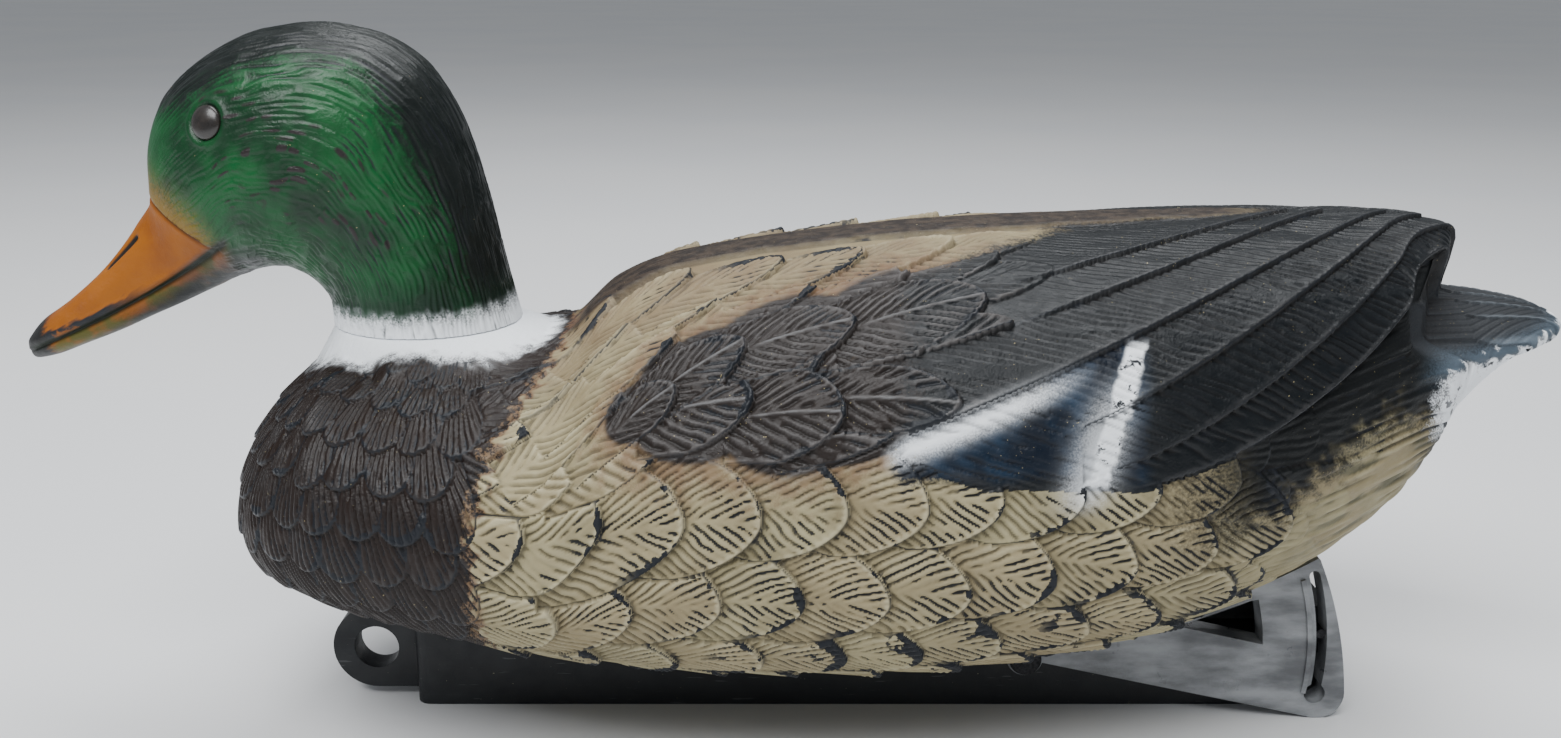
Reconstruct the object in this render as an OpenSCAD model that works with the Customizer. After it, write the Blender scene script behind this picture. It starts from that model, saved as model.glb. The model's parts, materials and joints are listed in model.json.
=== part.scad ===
// Floating drake mallard decoy: hollow body, turning head, ballasted keel and a swing-down keel fin.
// Millimetres. +X runs to the tail and +Z is up. Y = 0 is the plane of symmetry, and Z = 0 is the
// underside of the keel. The body and head are skins through smooth stations; the rest is turned,
// bored and extruded.

/* [Shell] */
// Wall thickness of the hollow body and head
shell_wall = 2.6; // [2:0.1:3.2]
// Scale of the body's width
body_width_scale = 1; // [0.9:0.01:1.05]
// Radius of each eye
eye_radius = 4.4; // [3.8:0.1:4.8]

/* [Neck joint] */
// Radius of the round neck joint
neck_radius = 24.2; // [23.8:0.1:25]
// Radius of the spigot that the head turns on
spigot_radius = 12; // [10:0.5:13]
// Radial running clearance of the spigot and of the fin on its pin
running_clearance = 0.05; // [0.03:0.01:0.1]

/* [Keel] */
// Width of the keel bar
keel_width = 18; // [17:0.5:19]
// Thickness of the keel's bottom cover
cover_thickness = 3; // [2.5:0.1:3.2]
// Radius of the hole in the line eye
line_hole_radius = 6.3; // [5:0.1:7]
// Thickness of the line eye
line_eye_thickness = 8; // [6:0.5:10]

/* [Fin] */
// Thickness of each of the fin's two cheeks
cheek_thickness = 7.5; // [6.5:0.5:8]
// Radius of the guide slot about the pivot
slot_radius = 81; // [80.5:0.1:81.5]
// Half the width of the guide slot
slot_half_width = 1.45; // [1.35:0.05:1.6]
// Radius of the round hole at the slot's lower end
end_hole_radius = 2.9; // [2.4:0.1:3.1]

/* [Hidden] */
$fn = 64;

// Body stations from breast to tail:
// [x, keel line z, back line z, half width, z of the widest line, upper fullness, lower fullness]
body_stations = [
    [-147, 60.5, 62.5, 2, 61.5, 2, 2],
    [-144, 48, 79, 26, 63, 2, 2.1],
    [-135, 41.5, 93, 42, 65, 2, 2.2],
    [-124, 38, 102.5, 51, 67, 2.1, 2.3],
    [-116, 36, 107, 57, 69, 2.2, 2.3],
    [-97, 32, 108, 64, 71, 2.2, 2.4],
    [-74, 28, 107.2, 69.5, 74, 2.1, 2.5],
    [-60, 26, 108.5, 71.5, 76, 2, 2.6],
    [-46, 24.6, 119, 73, 78, 1.95, 2.6],
    [-30, 23.2, 126.5, 74, 80, 1.95, 2.7],
    [-5, 22, 131, 75, 82, 2, 2.7],
    [25, 21.8, 134.5, 74.5, 84, 2.05, 2.7],
    [55, 23.5, 136.5, 72, 86, 2.1, 2.6],
    [93, 29, 138, 65, 90, 2.1, 2.5],
    [121, 38, 138.8, 55, 95, 2.1, 2.4],
    [142, 48.5, 139, 45, 100, 2, 2.3],
    [157, 59.5, 138.5, 37, 103, 2, 2.2],
    [166, 71, 136.8, 32, 104, 1.9, 2.1],
    [170.5, 78, 134, 29.5, 105, 1.9, 2],
    [172, 82, 119, 28.5, 105, 1.8, 2],
    [184, 98, 117, 24, 107, 1.8, 2],
    [196, 104, 114.5, 16, 109, 1.8, 2],
    [202, 106.5, 112, 9, 109.4, 1.9, 2],
    [205, 108.5, 110.3, 3, 109.4, 2, 2]
];

// Head stations from the neck joint to the bill's tip:
// [outer x, outer z, inner x, inner z, half width, fullness]
head_stations = [
    [-73, 110, -121.4, 110, 24.2, 2],
    [-76.2, 124, -121.6, 116, 24.3, 2],
    [-80.2, 143, -124.5, 121, 25, 2.05],
    [-86, 163, -129, 124, 26.4, 2.1],
    [-95.5, 178.2, -133, 125.3, 27.4, 2.15],
    [-108, 185.2, -136, 125.3, 27.9, 2.2],
    [-121, 187.3, -139, 124.8, 27.4, 2.2],
    [-134, 185.8, -141.5, 124.2, 25.8, 2.15],
    [-150, 178.6, -146, 122, 22.5, 2.1],
    [-161.5, 168, -150.5, 119.5, 17.5, 2],
    [-166.5, 155.5, -156, 117, 12.5, 2],
    [-167, 144.5, -163, 113.8, 9.8, 2.2],
    [-172, 136, -170.5, 110.6, 9.4, 2.4],
    [-181, 125, -179, 106.8, 10.6, 2.5],
    [-191, 116.3, -189, 103, 11.4, 2.5],
    [-199, 110.5, -197, 100, 9.6, 2.3],
    [-203.8, 105, -202.6, 98.8, 5.2, 2.1],
    [-205, 101.5, -204.6, 99.8, 0.8, 2]
];
body_last = len(body_stations) - 1;
head_last = len(head_stations) - 1;

// Neck joint
neck_x = -97.2;
neck_z = 110;
seat_ledge = 0.8;
rim_gap = 0.3;
bushing_radius = 16;
bushing_depth = 9;
flange_radius = 20;
flange_thickness = 2;
plug_radius = 20.4;
plug_thickness = 6;
vent_radius = 5;
washer_thickness = 0.6;
ring_thickness = 1.2;
ring_gap = 0.2;
ring_groove_radius = spigot_radius - 1.2;
ring_outer_radius = spigot_radius + 1.4;
ring_z = neck_z - bushing_depth - ring_gap - ring_thickness;
spigot_end_z = ring_z - 1.6;
seal_tube = 0.9;
seal_z = neck_z - 5;

// Eyes
eye_x = -143.4;
eye_z = 164.3;
eye_y = 22.6;
eye_out = [-0.36, 0.9, 0.24];
eye_dome = 1.9;
eye_stem_radius = 2.4;
eye_stem_length = 4;

// Keel
keel_front_x = -105.7;
keel_rear_x = 143.5;
keel_step_x = 84;
keel_low_x = 100;
keel_low_z = 18;
front_corner = 4;
hull_gap = 0.3;
line_eye_x = -117.2;
line_eye_radius = 12.2;
line_eye_z = cover_thickness + line_eye_radius;
screw_xs = [-88, -33, 22, 76];
screw_radius = 2;
screw_hole_radius = 2.2;
screw_head_radius = 4;
screw_head_depth = 2.2;
screw_recess = 0.3;
insert_radius = 3.2;
insert_length = 9;
boss_radius = 6.5;
boss_height = 14;
pocket_width = 12;
pocket_top = 16;
pocket_wall = 8;
pocket_clearance = 0.3;
pocket_spans = [
    [screw_xs[0] + pocket_wall, screw_xs[1] - pocket_wall],
    [screw_xs[1] + pocket_wall, screw_xs[2] - pocket_wall],
    [screw_xs[2] + pocket_wall, 56]
];
plug_x = -6;
plug_hole_radius = 5;
plug_head_radius = 7;
plug_head_thickness = 1;

// Fin: the pivot, the guide pin and the outline
pivot_x = 64;
pivot_z = 18;
pivot_radius = 2;
pivot_boss_radius = 4.9;
cheek_gap = 0.5;
cheek_inner = keel_width / 2 + cheek_gap;
cheek_outer = cheek_inner + cheek_thickness;
guide_radius = slot_half_width - 0.12;
guide_angle = 5;
slot_low_angle = -7.5;
slot_high_angle = 17.5;
lower_edge_angle = -12.9;
rear_arc_x = 30;
rear_arc_z = -3;
rear_arc_radius = 123;
rear_arc_end = 24;
fin_corner_radius = 7;
fin_hull_gap = 0.9;
window_radius = 65;
window_low_angle = 3.7;
window_high_angle = 15.6;
window_front_x = 105;
window_rim_x = 124.5;
window_rim = 3.5;
web_angle = -5;
web_radius = 84.5;
rib_offset = 2.6;
rib_width = 1.3;
rib_height = 0.8;
lug_front_x = 137;
lug_rear_x = 149.5;
lug_low_z = 15;
lug_high_z = 30;
pin_washer_thickness = 0.8;
pin_washer_radius = 4.4;
side_gap = 0.1;
pin_head_radius = 3.6;
pin_head_thickness = 1.2;
clip_groove_radius = 1.6;
clip_radius = 3.9;

// Value of one column of a station table at index position t: a cubic that never overshoots
function clamp_index(rows, i) = max(0, min(len(rows) - 1, i));
function step_of(rows, column, i) =
    rows[clamp_index(rows, i + 1)][column] - rows[clamp_index(rows, i)][column];
function slope_of(rows, column, i) =
    let (
        before = step_of(rows, column, i - 1),
        after = step_of(rows, column, i)
    )
    before * after > 0 ? 2 * before * after / (before + after) : 0;
function smooth(rows, column, t) =
    let (
        i = min(floor(t), len(rows) - 2),
        f = t - i,
        rise = step_of(rows, column, i),
        start = slope_of(rows, column, i),
        end = slope_of(rows, column, i + 1)
    )
    rows[i][column] + f * (start + f * (3 * rise - 2 * start - end + f * (start + end - 2 * rise)));

// Index position where the body's stations reach x, by halving the interval
function index_at(x, low = 0, high = body_last, rounds = 22) =
    let (middle = (low + high) / 2)
    rounds == 0 ? middle
    : smooth(body_stations, 0, middle) < x ? index_at(x, middle, high, rounds - 1)
    : index_at(x, low, middle, rounds - 1);

// Height of the body's keel line at x
function keel_line(x) = smooth(body_stations, 1, index_at(x));

// Cosine or sine raised to a section's fullness: 2 is an ellipse, and more is squarer
function swell(value, fullness) = sign(value) * pow(abs(value), 2 / fullness);

// One closed ring of the body at index t, moved inwards by inset
function body_ring(t, inset, sides) =
    let (
        x = smooth(body_stations, 0, t),
        low = smooth(body_stations, 1, t) + inset,
        top = smooth(body_stations, 2, t) - inset,
        half = max(0.3, smooth(body_stations, 3, t) * body_width_scale - inset),
        wide = smooth(body_stations, 4, t),
        upper = smooth(body_stations, 5, t),
        lower = smooth(body_stations, 6, t)
    )
    [for (k = [0:sides - 1])
        let (
            a = 360 * k / sides,
            full = sin(a) >= 0 ? upper : lower,
            rise = sin(a) >= 0 ? top - wide : wide - low
        )
        [x, half * swell(cos(a), full), wide + max(0.3, rise) * swell(sin(a), full)]
    ];

// One closed ring of the head at index t, moved inwards by inset
function head_ring(t, inset, sides) =
    let (
        outer = [smooth(head_stations, 0, t), smooth(head_stations, 1, t)],
        inner = [smooth(head_stations, 2, t), smooth(head_stations, 3, t)],
        middle = (outer + inner) / 2,
        reach = norm(outer - inner) / 2,
        along = (outer - inner) / (2 * reach),
        deep = max(0.3, reach - inset),
        half = max(0.3, smooth(head_stations, 4, t) - inset),
        full = smooth(head_stations, 5, t)
    )
    [for (k = [0:sides - 1])
        let (
            a = -360 * k / sides,
            r = deep * swell(sin(a), full)
        )
        [middle[0] + along[0] * r, half * swell(cos(a), full), middle[1] + along[1] * r]
    ];

// Closed skin through a list of rings with the same number of points
module skin(rings) {
    sides = len(rings[0]);
    last = len(rings) - 1;
    points = [for (ring = rings) each ring];
    walls = [for (i = [0:last - 1], k = [0:sides - 1])
        let (n = (k + 1) % sides)
        each [
            [i * sides + k, (i + 1) * sides + k, (i + 1) * sides + n],
            [i * sides + k, (i + 1) * sides + n, i * sides + n]
        ]
    ];
    first_cap = [for (k = [0:sides - 1]) k];
    last_cap = [for (k = [sides - 1:-1:0]) last * sides + k];
    polyhedron(points, concat([first_cap], walls, [last_cap]), convexity = 6);
}

module body_form(inset, steps, sides, first, last) {
    skin([for (i = [0:steps]) body_ring(first + (last - first) * i / steps, inset, sides)]);
}

module head_form(inset, steps, sides, first, last) {
    skin([for (i = [0:steps]) head_ring(first + (last - first) * i / steps, inset, sides)]);
}

// Round bar along Z between two heights, on the neck's axis
module neck_bar(r, low, high) {
    translate([neck_x, 0, low]) cylinder(r = r, h = high - low);
}

// Round bar along Y between two positions, at x and z
module cross_bar(x, z, r, low, high) {
    translate([x, high, z]) rotate([90, 0, 0]) cylinder(r = r, h = high - low);
}

// Outline drawn in X and Z, extruded along Y between two positions
module upright(low, high) {
    translate([0, high, 0]) rotate([90, 0, 0]) linear_extrude(high - low) children();
}

// Turns a shape built along +Z so that it points out of an eye socket; side is -1 or 1
module at_eye(side) {
    out = [eye_out[0], eye_out[1] * side, eye_out[2]];
    lean = acos(out[2] / norm(out));
    turn = atan2(out[1], out[0]);
    translate([eye_x, eye_y * side, eye_z]) rotate([0, lean, turn]) children();
}

// ---- Body ----

module body_shell() {
    color("tan") difference() {
        union() {
            difference() {
                union() {
                    body_form(0, 62, 56, 0, body_last);
                    neck_bar(neck_radius + seat_ledge, neck_z - 14, neck_z);
                }
                body_form(shell_wall, 36, 30, 0.9, body_last - 4);
            }
            neck_bar(flange_radius + 2, neck_z - bushing_depth, neck_z - 1);
            for (x = screw_xs) {
                z = keel_line(x) + shell_wall / 2;
                translate([x, 0, z]) cylinder(r = boss_radius, h = boss_height);
            }
        }
        neck_bar(bushing_radius, neck_z - 20, neck_z + 1);
        neck_bar(flange_radius, neck_z - flange_thickness, neck_z + 1);
        for (x = screw_xs) {
            translate([x, 0, keel_line(x) - 1]) cylinder(r = insert_radius, h = insert_length + 2);
        }
        translate([plug_x, 0, keel_line(plug_x) - 1]) cylinder(r = plug_hole_radius, h = shell_wall * 2);
    }
}

module blow_hole_plug() {
    base = keel_line(plug_x) - hull_gap / 2;
    color("dimgray") {
        translate([plug_x, 0, base - plug_head_thickness])
            cylinder(r = plug_head_radius, h = plug_head_thickness);
        translate([plug_x, 0, base - plug_head_thickness])
            cylinder(r = plug_hole_radius, h = shell_wall + plug_head_thickness + 1);
    }
}

module neck_bushing() {
    color("ivory") difference() {
        union() {
            neck_bar(flange_radius, neck_z - flange_thickness, neck_z);
            neck_bar(bushing_radius, neck_z - bushing_depth, neck_z);
        }
        neck_bar(spigot_radius + running_clearance, neck_z - bushing_depth - 1, neck_z + 1);
    }
}

module threaded_inserts() {
    color("goldenrod") for (x = screw_xs) {
        translate([x, 0, keel_line(x) + hull_gap]) difference() {
            cylinder(r = insert_radius, h = insert_length);
            translate([0, 0, -1]) cylinder(r = screw_radius, h = insert_length + 2);
        }
    }
}

// ---- Head ----

module head_shell() {
    color("darkgreen") difference() {
        head_form(0, 50, 40, 0, head_last);
        head_form(shell_wall, 26, 24, 0.35, 9.6);
        neck_bar(neck_radius + 2, neck_z - 1, neck_z + rim_gap);
        neck_bar(plug_radius, neck_z - 1, neck_z + plug_thickness + 3);
        for (side = [-1, 1]) {
            at_eye(side) translate([0, 0, -1]) cylinder(r = eye_radius + side_gap, h = 8);
            at_eye(side) translate([0, 0, -eye_stem_length - 1]) cylinder(r = eye_stem_radius, h = 8);
        }
    }
}

// Dome of an eye with its stem; the dome is a cap of a sphere
module eye(side) {
    sphere_radius = (eye_radius * eye_radius + eye_dome * eye_dome) / (2 * eye_dome);
    color("black") at_eye(side) {
        translate([0, 0, -eye_stem_length]) cylinder(r = eye_stem_radius, h = eye_stem_length);
        translate([0, 0, -0.9]) cylinder(r = eye_radius, h = 0.9);
        intersection() {
            translate([0, 0, eye_dome - sphere_radius]) sphere(r = sphere_radius);
            cylinder(r = eye_radius, h = eye_dome + 1);
        }
    }
}

module left_eye() {
    eye(-1);
}

module right_eye() {
    eye(1);
}

// Disc in the head's open neck, with the spigot that turns in the bushing
module neck_plug() {
    low = neck_z + rim_gap + washer_thickness;
    color("dimgray") difference() {
        union() {
            neck_bar(plug_radius, low, low + plug_thickness);
            neck_bar(spigot_radius, spigot_end_z, low + 1);
        }
        neck_bar(vent_radius, spigot_end_z - 1, low + plug_thickness + 1);
        translate([neck_x, 0, 0]) rotate_extrude() {
            translate([ring_groove_radius, ring_z - 0.1]) square([4, ring_thickness + 0.2]);
            translate([spigot_radius - 2 * seal_tube, seal_z - seal_tube]) square([4, 2 * seal_tube]);
        }
    }
}

module neck_seal() {
    color("black") translate([neck_x, 0, seal_z]) rotate_extrude()
        translate([spigot_radius - seal_tube, 0]) circle(r = seal_tube - 0.02);
}

// Spring ring with a gap, snapped into the spigot's groove below the bushing
module snap_ring() {
    color("silver") translate([neck_x, 0, ring_z]) difference() {
        cylinder(r = ring_outer_radius, h = ring_thickness);
        translate([0, 0, -1]) cylinder(r = ring_groove_radius + 0.1, h = ring_thickness + 2);
        translate([0, -3, -1]) cube([ring_outer_radius + 1, 6, ring_thickness + 2]);
    }
}

module friction_washer() {
    color("saddlebrown") difference() {
        neck_bar(flange_radius - 0.5, neck_z + rim_gap / 2, neck_z + rim_gap / 2 + washer_thickness);
        neck_bar(spigot_radius + 0.6, neck_z - 1, neck_z + 2);
    }
}

// ---- Keel ----

// Plan of the keel bar, with round front corners
module keel_plan() {
    half = keel_width / 2;
    translate([keel_front_x, -half + front_corner])
        square([keel_rear_x - keel_front_x, keel_width - 2 * front_corner]);
    translate([keel_front_x + front_corner, -half])
        square([lug_rear_x - keel_front_x - front_corner, keel_width]);
    for (side = [-1, 1]) {
        translate([keel_front_x + front_corner, side * (half - front_corner)]) circle(r = front_corner);
    }
}

// Side of the keel bar: flat below, along the hull above, with a lug for the guide pin at the rear
module keel_side() {
    hull_steps = 30;
    top = [for (i = [0:hull_steps])
        let (x = keel_front_x + (keel_step_x - keel_front_x) * i / hull_steps)
        [x, keel_line(x) - hull_gap]
    ];
    polygon(concat(
        [[keel_front_x, cover_thickness]],
        top,
        [
            [keel_low_x, keel_low_z], [lug_front_x, keel_low_z], [lug_front_x + 2, lug_high_z],
            [lug_rear_x, lug_high_z], [lug_rear_x, lug_low_z], [keel_rear_x, lug_low_z - 1.5],
            [keel_rear_x, cover_thickness]
        ]
    ));
}

module line_eye() {
    upright(-line_eye_thickness / 2, line_eye_thickness / 2) {
        translate([line_eye_x, line_eye_z]) circle(r = line_eye_radius);
        translate([line_eye_x, cover_thickness])
            square([keel_front_x - line_eye_x + 1, 2 * line_eye_radius]);
    }
}

guide_x = pivot_x + slot_radius * cos(guide_angle);
guide_z = pivot_z + slot_radius * sin(guide_angle);

module keel_housing() {
    color("#1b1b1d") difference() {
        union() {
            intersection() {
                upright(-keel_width, keel_width) keel_side();
                linear_extrude(60) keel_plan();
            }
            line_eye();
        }
        cross_bar(line_eye_x, line_eye_z, line_hole_radius, -line_eye_thickness, line_eye_thickness);
        for (span = pocket_spans) {
            translate([span[0], -pocket_width / 2, cover_thickness - 1])
                cube([span[1] - span[0], pocket_width, pocket_top - cover_thickness + 1]);
        }
        for (x = screw_xs) {
            translate([x, 0, 0]) cylinder(r = screw_hole_radius, h = 60);
        }
        translate([plug_x, 0, keel_line(plug_x) - 2]) cylinder(r = plug_head_radius + 0.5, h = 10);
        cross_bar(pivot_x, pivot_z, pivot_radius, -keel_width, keel_width);
        cross_bar(guide_x, guide_z, guide_radius, -keel_width, keel_width);
    }
}

module keel_cover() {
    color("#222224") difference() {
        intersection() {
            linear_extrude(cover_thickness) keel_plan();
            translate([keel_front_x, -keel_width, 0])
                cube([keel_rear_x - keel_front_x, 2 * keel_width, cover_thickness]);
        }
        for (x = screw_xs) {
            translate([x, 0, -1]) cylinder(r = screw_hole_radius, h = cover_thickness + 2);
            translate([x, 0, -0.01]) cylinder(r = screw_head_radius, h = screw_recess + 0.01);
            translate([x, 0, screw_recess])
                cylinder(r1 = screw_head_radius, r2 = screw_hole_radius, h = screw_head_depth);
        }
    }
}

module ballast_slugs() {
    color("dimgray") for (span = pocket_spans) {
        translate([span[0] + pocket_clearance, -pocket_width / 2 + pocket_clearance, cover_thickness])
            cube([
                span[1] - span[0] - 2 * pocket_clearance,
                pocket_width - 2 * pocket_clearance,
                pocket_top - cover_thickness - pocket_clearance
            ]);
    }
}

// Countersunk screws with a cross recess, from the cover into the inserts
module keel_screws() {
    slot = 0.9;
    color("silver") for (x = screw_xs) {
        translate([x, 0, screw_recess]) difference() {
            union() {
                cylinder(
                    r1 = screw_head_radius - 0.1,
                    r2 = screw_radius - 0.1,
                    h = screw_head_depth
                );
                cylinder(r = screw_radius, h = keel_line(x) + insert_length - screw_recess);
            }
            for (turn = [0, 90]) {
                rotate([0, 0, turn]) translate([-slot / 2, -2, -1]) cube([slot, 4, 2.2]);
            }
        }
    }
}

// ---- Fin ----

// Height of a line through a point at an angle, at x
function on_line(x, at, angle) = at[1] + (x - at[0]) * tan(angle);

// Points along an arc about [x, z], from one angle to another
function arc_points(centre, r, from, to, steps) = [
    for (i = [0:steps])
        let (a = from + (to - from) * i / steps)
        [centre[0] + r * cos(a), centre[1] + r * sin(a)]
];

// The round lower corner touches the ground, and runs into the rear arc
pivot = [pivot_x, pivot_z];
rear_arc = [rear_arc_x, rear_arc_z];
corner_reach = rear_arc_radius - fin_corner_radius;
corner_rise = fin_corner_radius - rear_arc_z;
corner_angle = asin(corner_rise / corner_reach);
fin_corner = [rear_arc_x + corner_reach * cos(corner_angle), fin_corner_radius];

// Fin from the boss along its lower edge, round the corner, up the rear arc and back under the hull
module fin_outline() {
    hull_steps = 24;
    front_x = pivot_x + 1;
    rear_x = rear_arc_x + rear_arc_radius * cos(rear_arc_end) - 0.5;
    under_hull = [for (i = [hull_steps:-1:0])
        let (x = front_x + (rear_x - front_x) * i / hull_steps)
        [x, keel_line(x) - fin_hull_gap]
    ];
    polygon(concat(
        arc_points(pivot, pivot_boss_radius, 100, 345, 24),
        arc_points(fin_corner, fin_corner_radius, lower_edge_angle - 90, corner_angle, 10),
        arc_points(rear_arc, rear_arc_radius, corner_angle + 1, rear_arc_end, 12),
        under_hull
    ));
}

// Band about the pivot between two radii and two angles
module pivot_band(inner, outer, low, high) {
    polygon(concat(arc_points(pivot, inner, low, high, 16), arc_points(pivot, outer, high, low, 16)));
}

// Curved slot with a round upper end and a larger round hole at its lower end
module guide_slot() {
    low_end = arc_points(pivot, slot_radius, slot_low_angle, slot_low_angle, 1)[0];
    high_end = arc_points(pivot, slot_radius, slot_high_angle, slot_high_angle, 1)[0];
    mouth = asin(slot_half_width / end_hole_radius);
    low = slot_low_angle + atan(end_hole_radius * cos(mouth) / slot_radius);
    along = slot_low_angle + 90;
    polygon(concat(
        arc_points(pivot, slot_radius + slot_half_width, low, slot_high_angle, 14),
        arc_points(high_end, slot_half_width, slot_high_angle + 15, slot_high_angle + 165, 10),
        arc_points(pivot, slot_radius - slot_half_width, slot_high_angle, low, 14),
        arc_points(low_end, end_hole_radius, along + mouth + 10, along + 350 - mouth, 20)
    ));
}

// Lightening window: parallel to the lower edge, under a rim along the hull, with a round rear edge
module fin_window() {
    rim_steps = 8;
    sill_rear = arc_points(pivot, window_radius, window_low_angle, window_low_angle, 1)[0];
    rim = [for (i = [rim_steps:-1:0])
        let (x = window_front_x + 2 + (window_rim_x - window_front_x - 2) * i / rim_steps)
        [x, keel_line(x) - fin_hull_gap - window_rim]
    ];
    polygon(concat(
        arc_points(pivot, window_radius, window_low_angle, window_high_angle, 8),
        rim,
        [[window_front_x, on_line(window_front_x, sill_rear, lower_edge_angle)]]
    ));
}

// Two cheeks astride the keel bar, joined behind it by a web
module keel_fin() {
    color("#242426") difference() {
        union() {
            for (side = [-1, 1]) {
                near = side < 0 ? -cheek_outer : cheek_inner;
                upright(near, near + cheek_thickness) difference() {
                    fin_outline();
                    guide_slot();
                    fin_window();
                }
                face = side < 0 ? -cheek_outer - rib_height : cheek_outer - 0.5;
                upright(face, face + rib_height + 0.5) pivot_band(
                    slot_radius - slot_half_width - rib_offset,
                    slot_radius - slot_half_width - rib_offset + rib_width,
                    slot_low_angle,
                    slot_high_angle
                );
            }
            upright(-cheek_inner - 0.5, cheek_inner + 0.5) intersection() {
                fin_outline();
                pivot_band(web_radius, web_radius + 20, web_angle - 11, web_angle);
            }
        }
        cross_bar(pivot_x, pivot_z, pivot_radius + running_clearance, -30, 30);
    }
}

module fin_pivot_pin() {
    head_face = -cheek_outer - 2 * side_gap - pin_washer_thickness;
    clip_face = cheek_outer + 2 * side_gap + pin_washer_thickness;
    color("silver") difference() {
        union() {
            cross_bar(pivot_x, pivot_z, pivot_radius, head_face - 0.5, clip_face + 1.6);
            cross_bar(pivot_x, pivot_z, pin_head_radius, head_face - pin_head_thickness, head_face);
        }
        difference() {
            cross_bar(pivot_x, pivot_z, 6, clip_face, clip_face + 0.8);
            cross_bar(pivot_x, pivot_z, clip_groove_radius, clip_face - 1, clip_face + 2);
        }
    }
}

module pivot_washers() {
    color("gainsboro") for (side = [-1, 1]) {
        low = side < 0 ? -cheek_outer - side_gap - pin_washer_thickness : cheek_outer + side_gap;
        difference() {
            cross_bar(pivot_x, pivot_z, pin_washer_radius, low, low + pin_washer_thickness);
            cross_bar(pivot_x, pivot_z, pivot_radius + side_gap, low - 1, low + 2);
        }
    }
}

// Open clip in the pivot pin's groove
module pivot_clip() {
    clip_face = cheek_outer + 2 * side_gap + pin_washer_thickness;
    color("silver") difference() {
        cross_bar(pivot_x, pivot_z, clip_radius, clip_face + 0.05, clip_face + 0.75);
        cross_bar(pivot_x, pivot_z, clip_groove_radius + 0.05, clip_face - 1, clip_face + 2);
        translate([pivot_x - 1.2, clip_face - 1, pivot_z - 8]) cube([2.4, 3, 8]);
    }
}

module fin_guide_pin() {
    reach = cheek_outer - 0.6;
    color("silver") cross_bar(guide_x, guide_z, guide_radius, -reach, reach);
}

body_shell();
blow_hole_plug();
neck_bushing();
threaded_inserts();
head_shell();
left_eye();
right_eye();
neck_plug();
neck_seal();
snap_ring();
friction_washer();
keel_housing();
keel_cover();
ballast_slugs();
keel_screws();
keel_fin();
fin_pivot_pin();
pivot_washers();
pivot_clip();
fin_guide_pin();
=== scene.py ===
"""Looks of a floating drake mallard decoy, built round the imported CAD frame.

The body's and the head's skins repeat the smooth stations of the CAD shells on fine grids. They carry
the moulded plumage as real relief, and masks on their points that tell the node materials where each
paint goes. Lengths are in millimetres until a mesh is made.
"""
import json
import math

import bpy
import numpy as np
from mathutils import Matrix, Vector


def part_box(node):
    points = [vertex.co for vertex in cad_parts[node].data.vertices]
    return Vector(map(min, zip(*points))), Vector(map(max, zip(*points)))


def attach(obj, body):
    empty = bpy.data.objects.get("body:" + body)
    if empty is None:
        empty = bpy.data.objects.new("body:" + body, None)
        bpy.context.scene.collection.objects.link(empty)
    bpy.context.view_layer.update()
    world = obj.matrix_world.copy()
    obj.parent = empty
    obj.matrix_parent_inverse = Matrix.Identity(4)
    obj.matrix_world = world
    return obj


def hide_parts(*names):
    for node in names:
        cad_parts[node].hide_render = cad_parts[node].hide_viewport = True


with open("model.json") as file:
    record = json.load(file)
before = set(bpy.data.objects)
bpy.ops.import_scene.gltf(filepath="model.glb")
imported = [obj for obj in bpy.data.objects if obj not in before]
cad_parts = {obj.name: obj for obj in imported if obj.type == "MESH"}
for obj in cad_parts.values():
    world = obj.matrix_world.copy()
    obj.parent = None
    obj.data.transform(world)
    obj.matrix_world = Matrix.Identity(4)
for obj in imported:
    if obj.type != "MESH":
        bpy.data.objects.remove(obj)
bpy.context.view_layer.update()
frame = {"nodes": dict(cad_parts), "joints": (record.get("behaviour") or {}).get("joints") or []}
MM = 0.001

# ----- stations of the two shells

# [x, keel line z, back line z, half width, z of the widest line, upper fullness, lower fullness]
BODY_STATIONS = np.array([
    [-147, 60.5, 62.5, 2, 61.5, 2, 2],
    [-144, 48, 79, 26, 63, 2, 2.1],
    [-135, 41.5, 93, 42, 65, 2, 2.2],
    [-124, 38, 102.5, 51, 67, 2.1, 2.3],
    [-116, 36, 107, 57, 69, 2.2, 2.3],
    [-97, 32, 108, 64, 71, 2.2, 2.4],
    [-74, 28, 107.2, 69.5, 74, 2.1, 2.5],
    [-60, 26, 108.5, 71.5, 76, 2, 2.6],
    [-46, 24.6, 119, 73, 78, 1.95, 2.6],
    [-30, 23.2, 126.5, 74, 80, 1.95, 2.7],
    [-5, 22, 131, 75, 82, 2, 2.7],
    [25, 21.8, 134.5, 74.5, 84, 2.05, 2.7],
    [55, 23.5, 136.5, 72, 86, 2.1, 2.6],
    [93, 29, 138, 65, 90, 2.1, 2.5],
    [121, 38, 138.8, 55, 95, 2.1, 2.4],
    [142, 48.5, 139, 45, 100, 2, 2.3],
    [157, 59.5, 138.5, 37, 103, 2, 2.2],
    [166, 71, 136.8, 32, 104, 1.9, 2.1],
    [170.5, 78, 134, 29.5, 105, 1.9, 2],
    [172, 82, 119, 28.5, 105, 1.8, 2],
    [184, 98, 117, 24, 107, 1.8, 2],
    [196, 104, 114.5, 16, 109, 1.8, 2],
    [202, 106.5, 112, 9, 109.4, 1.9, 2],
    [205, 108.5, 110.3, 3, 109.4, 2, 2],
], float)

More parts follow.
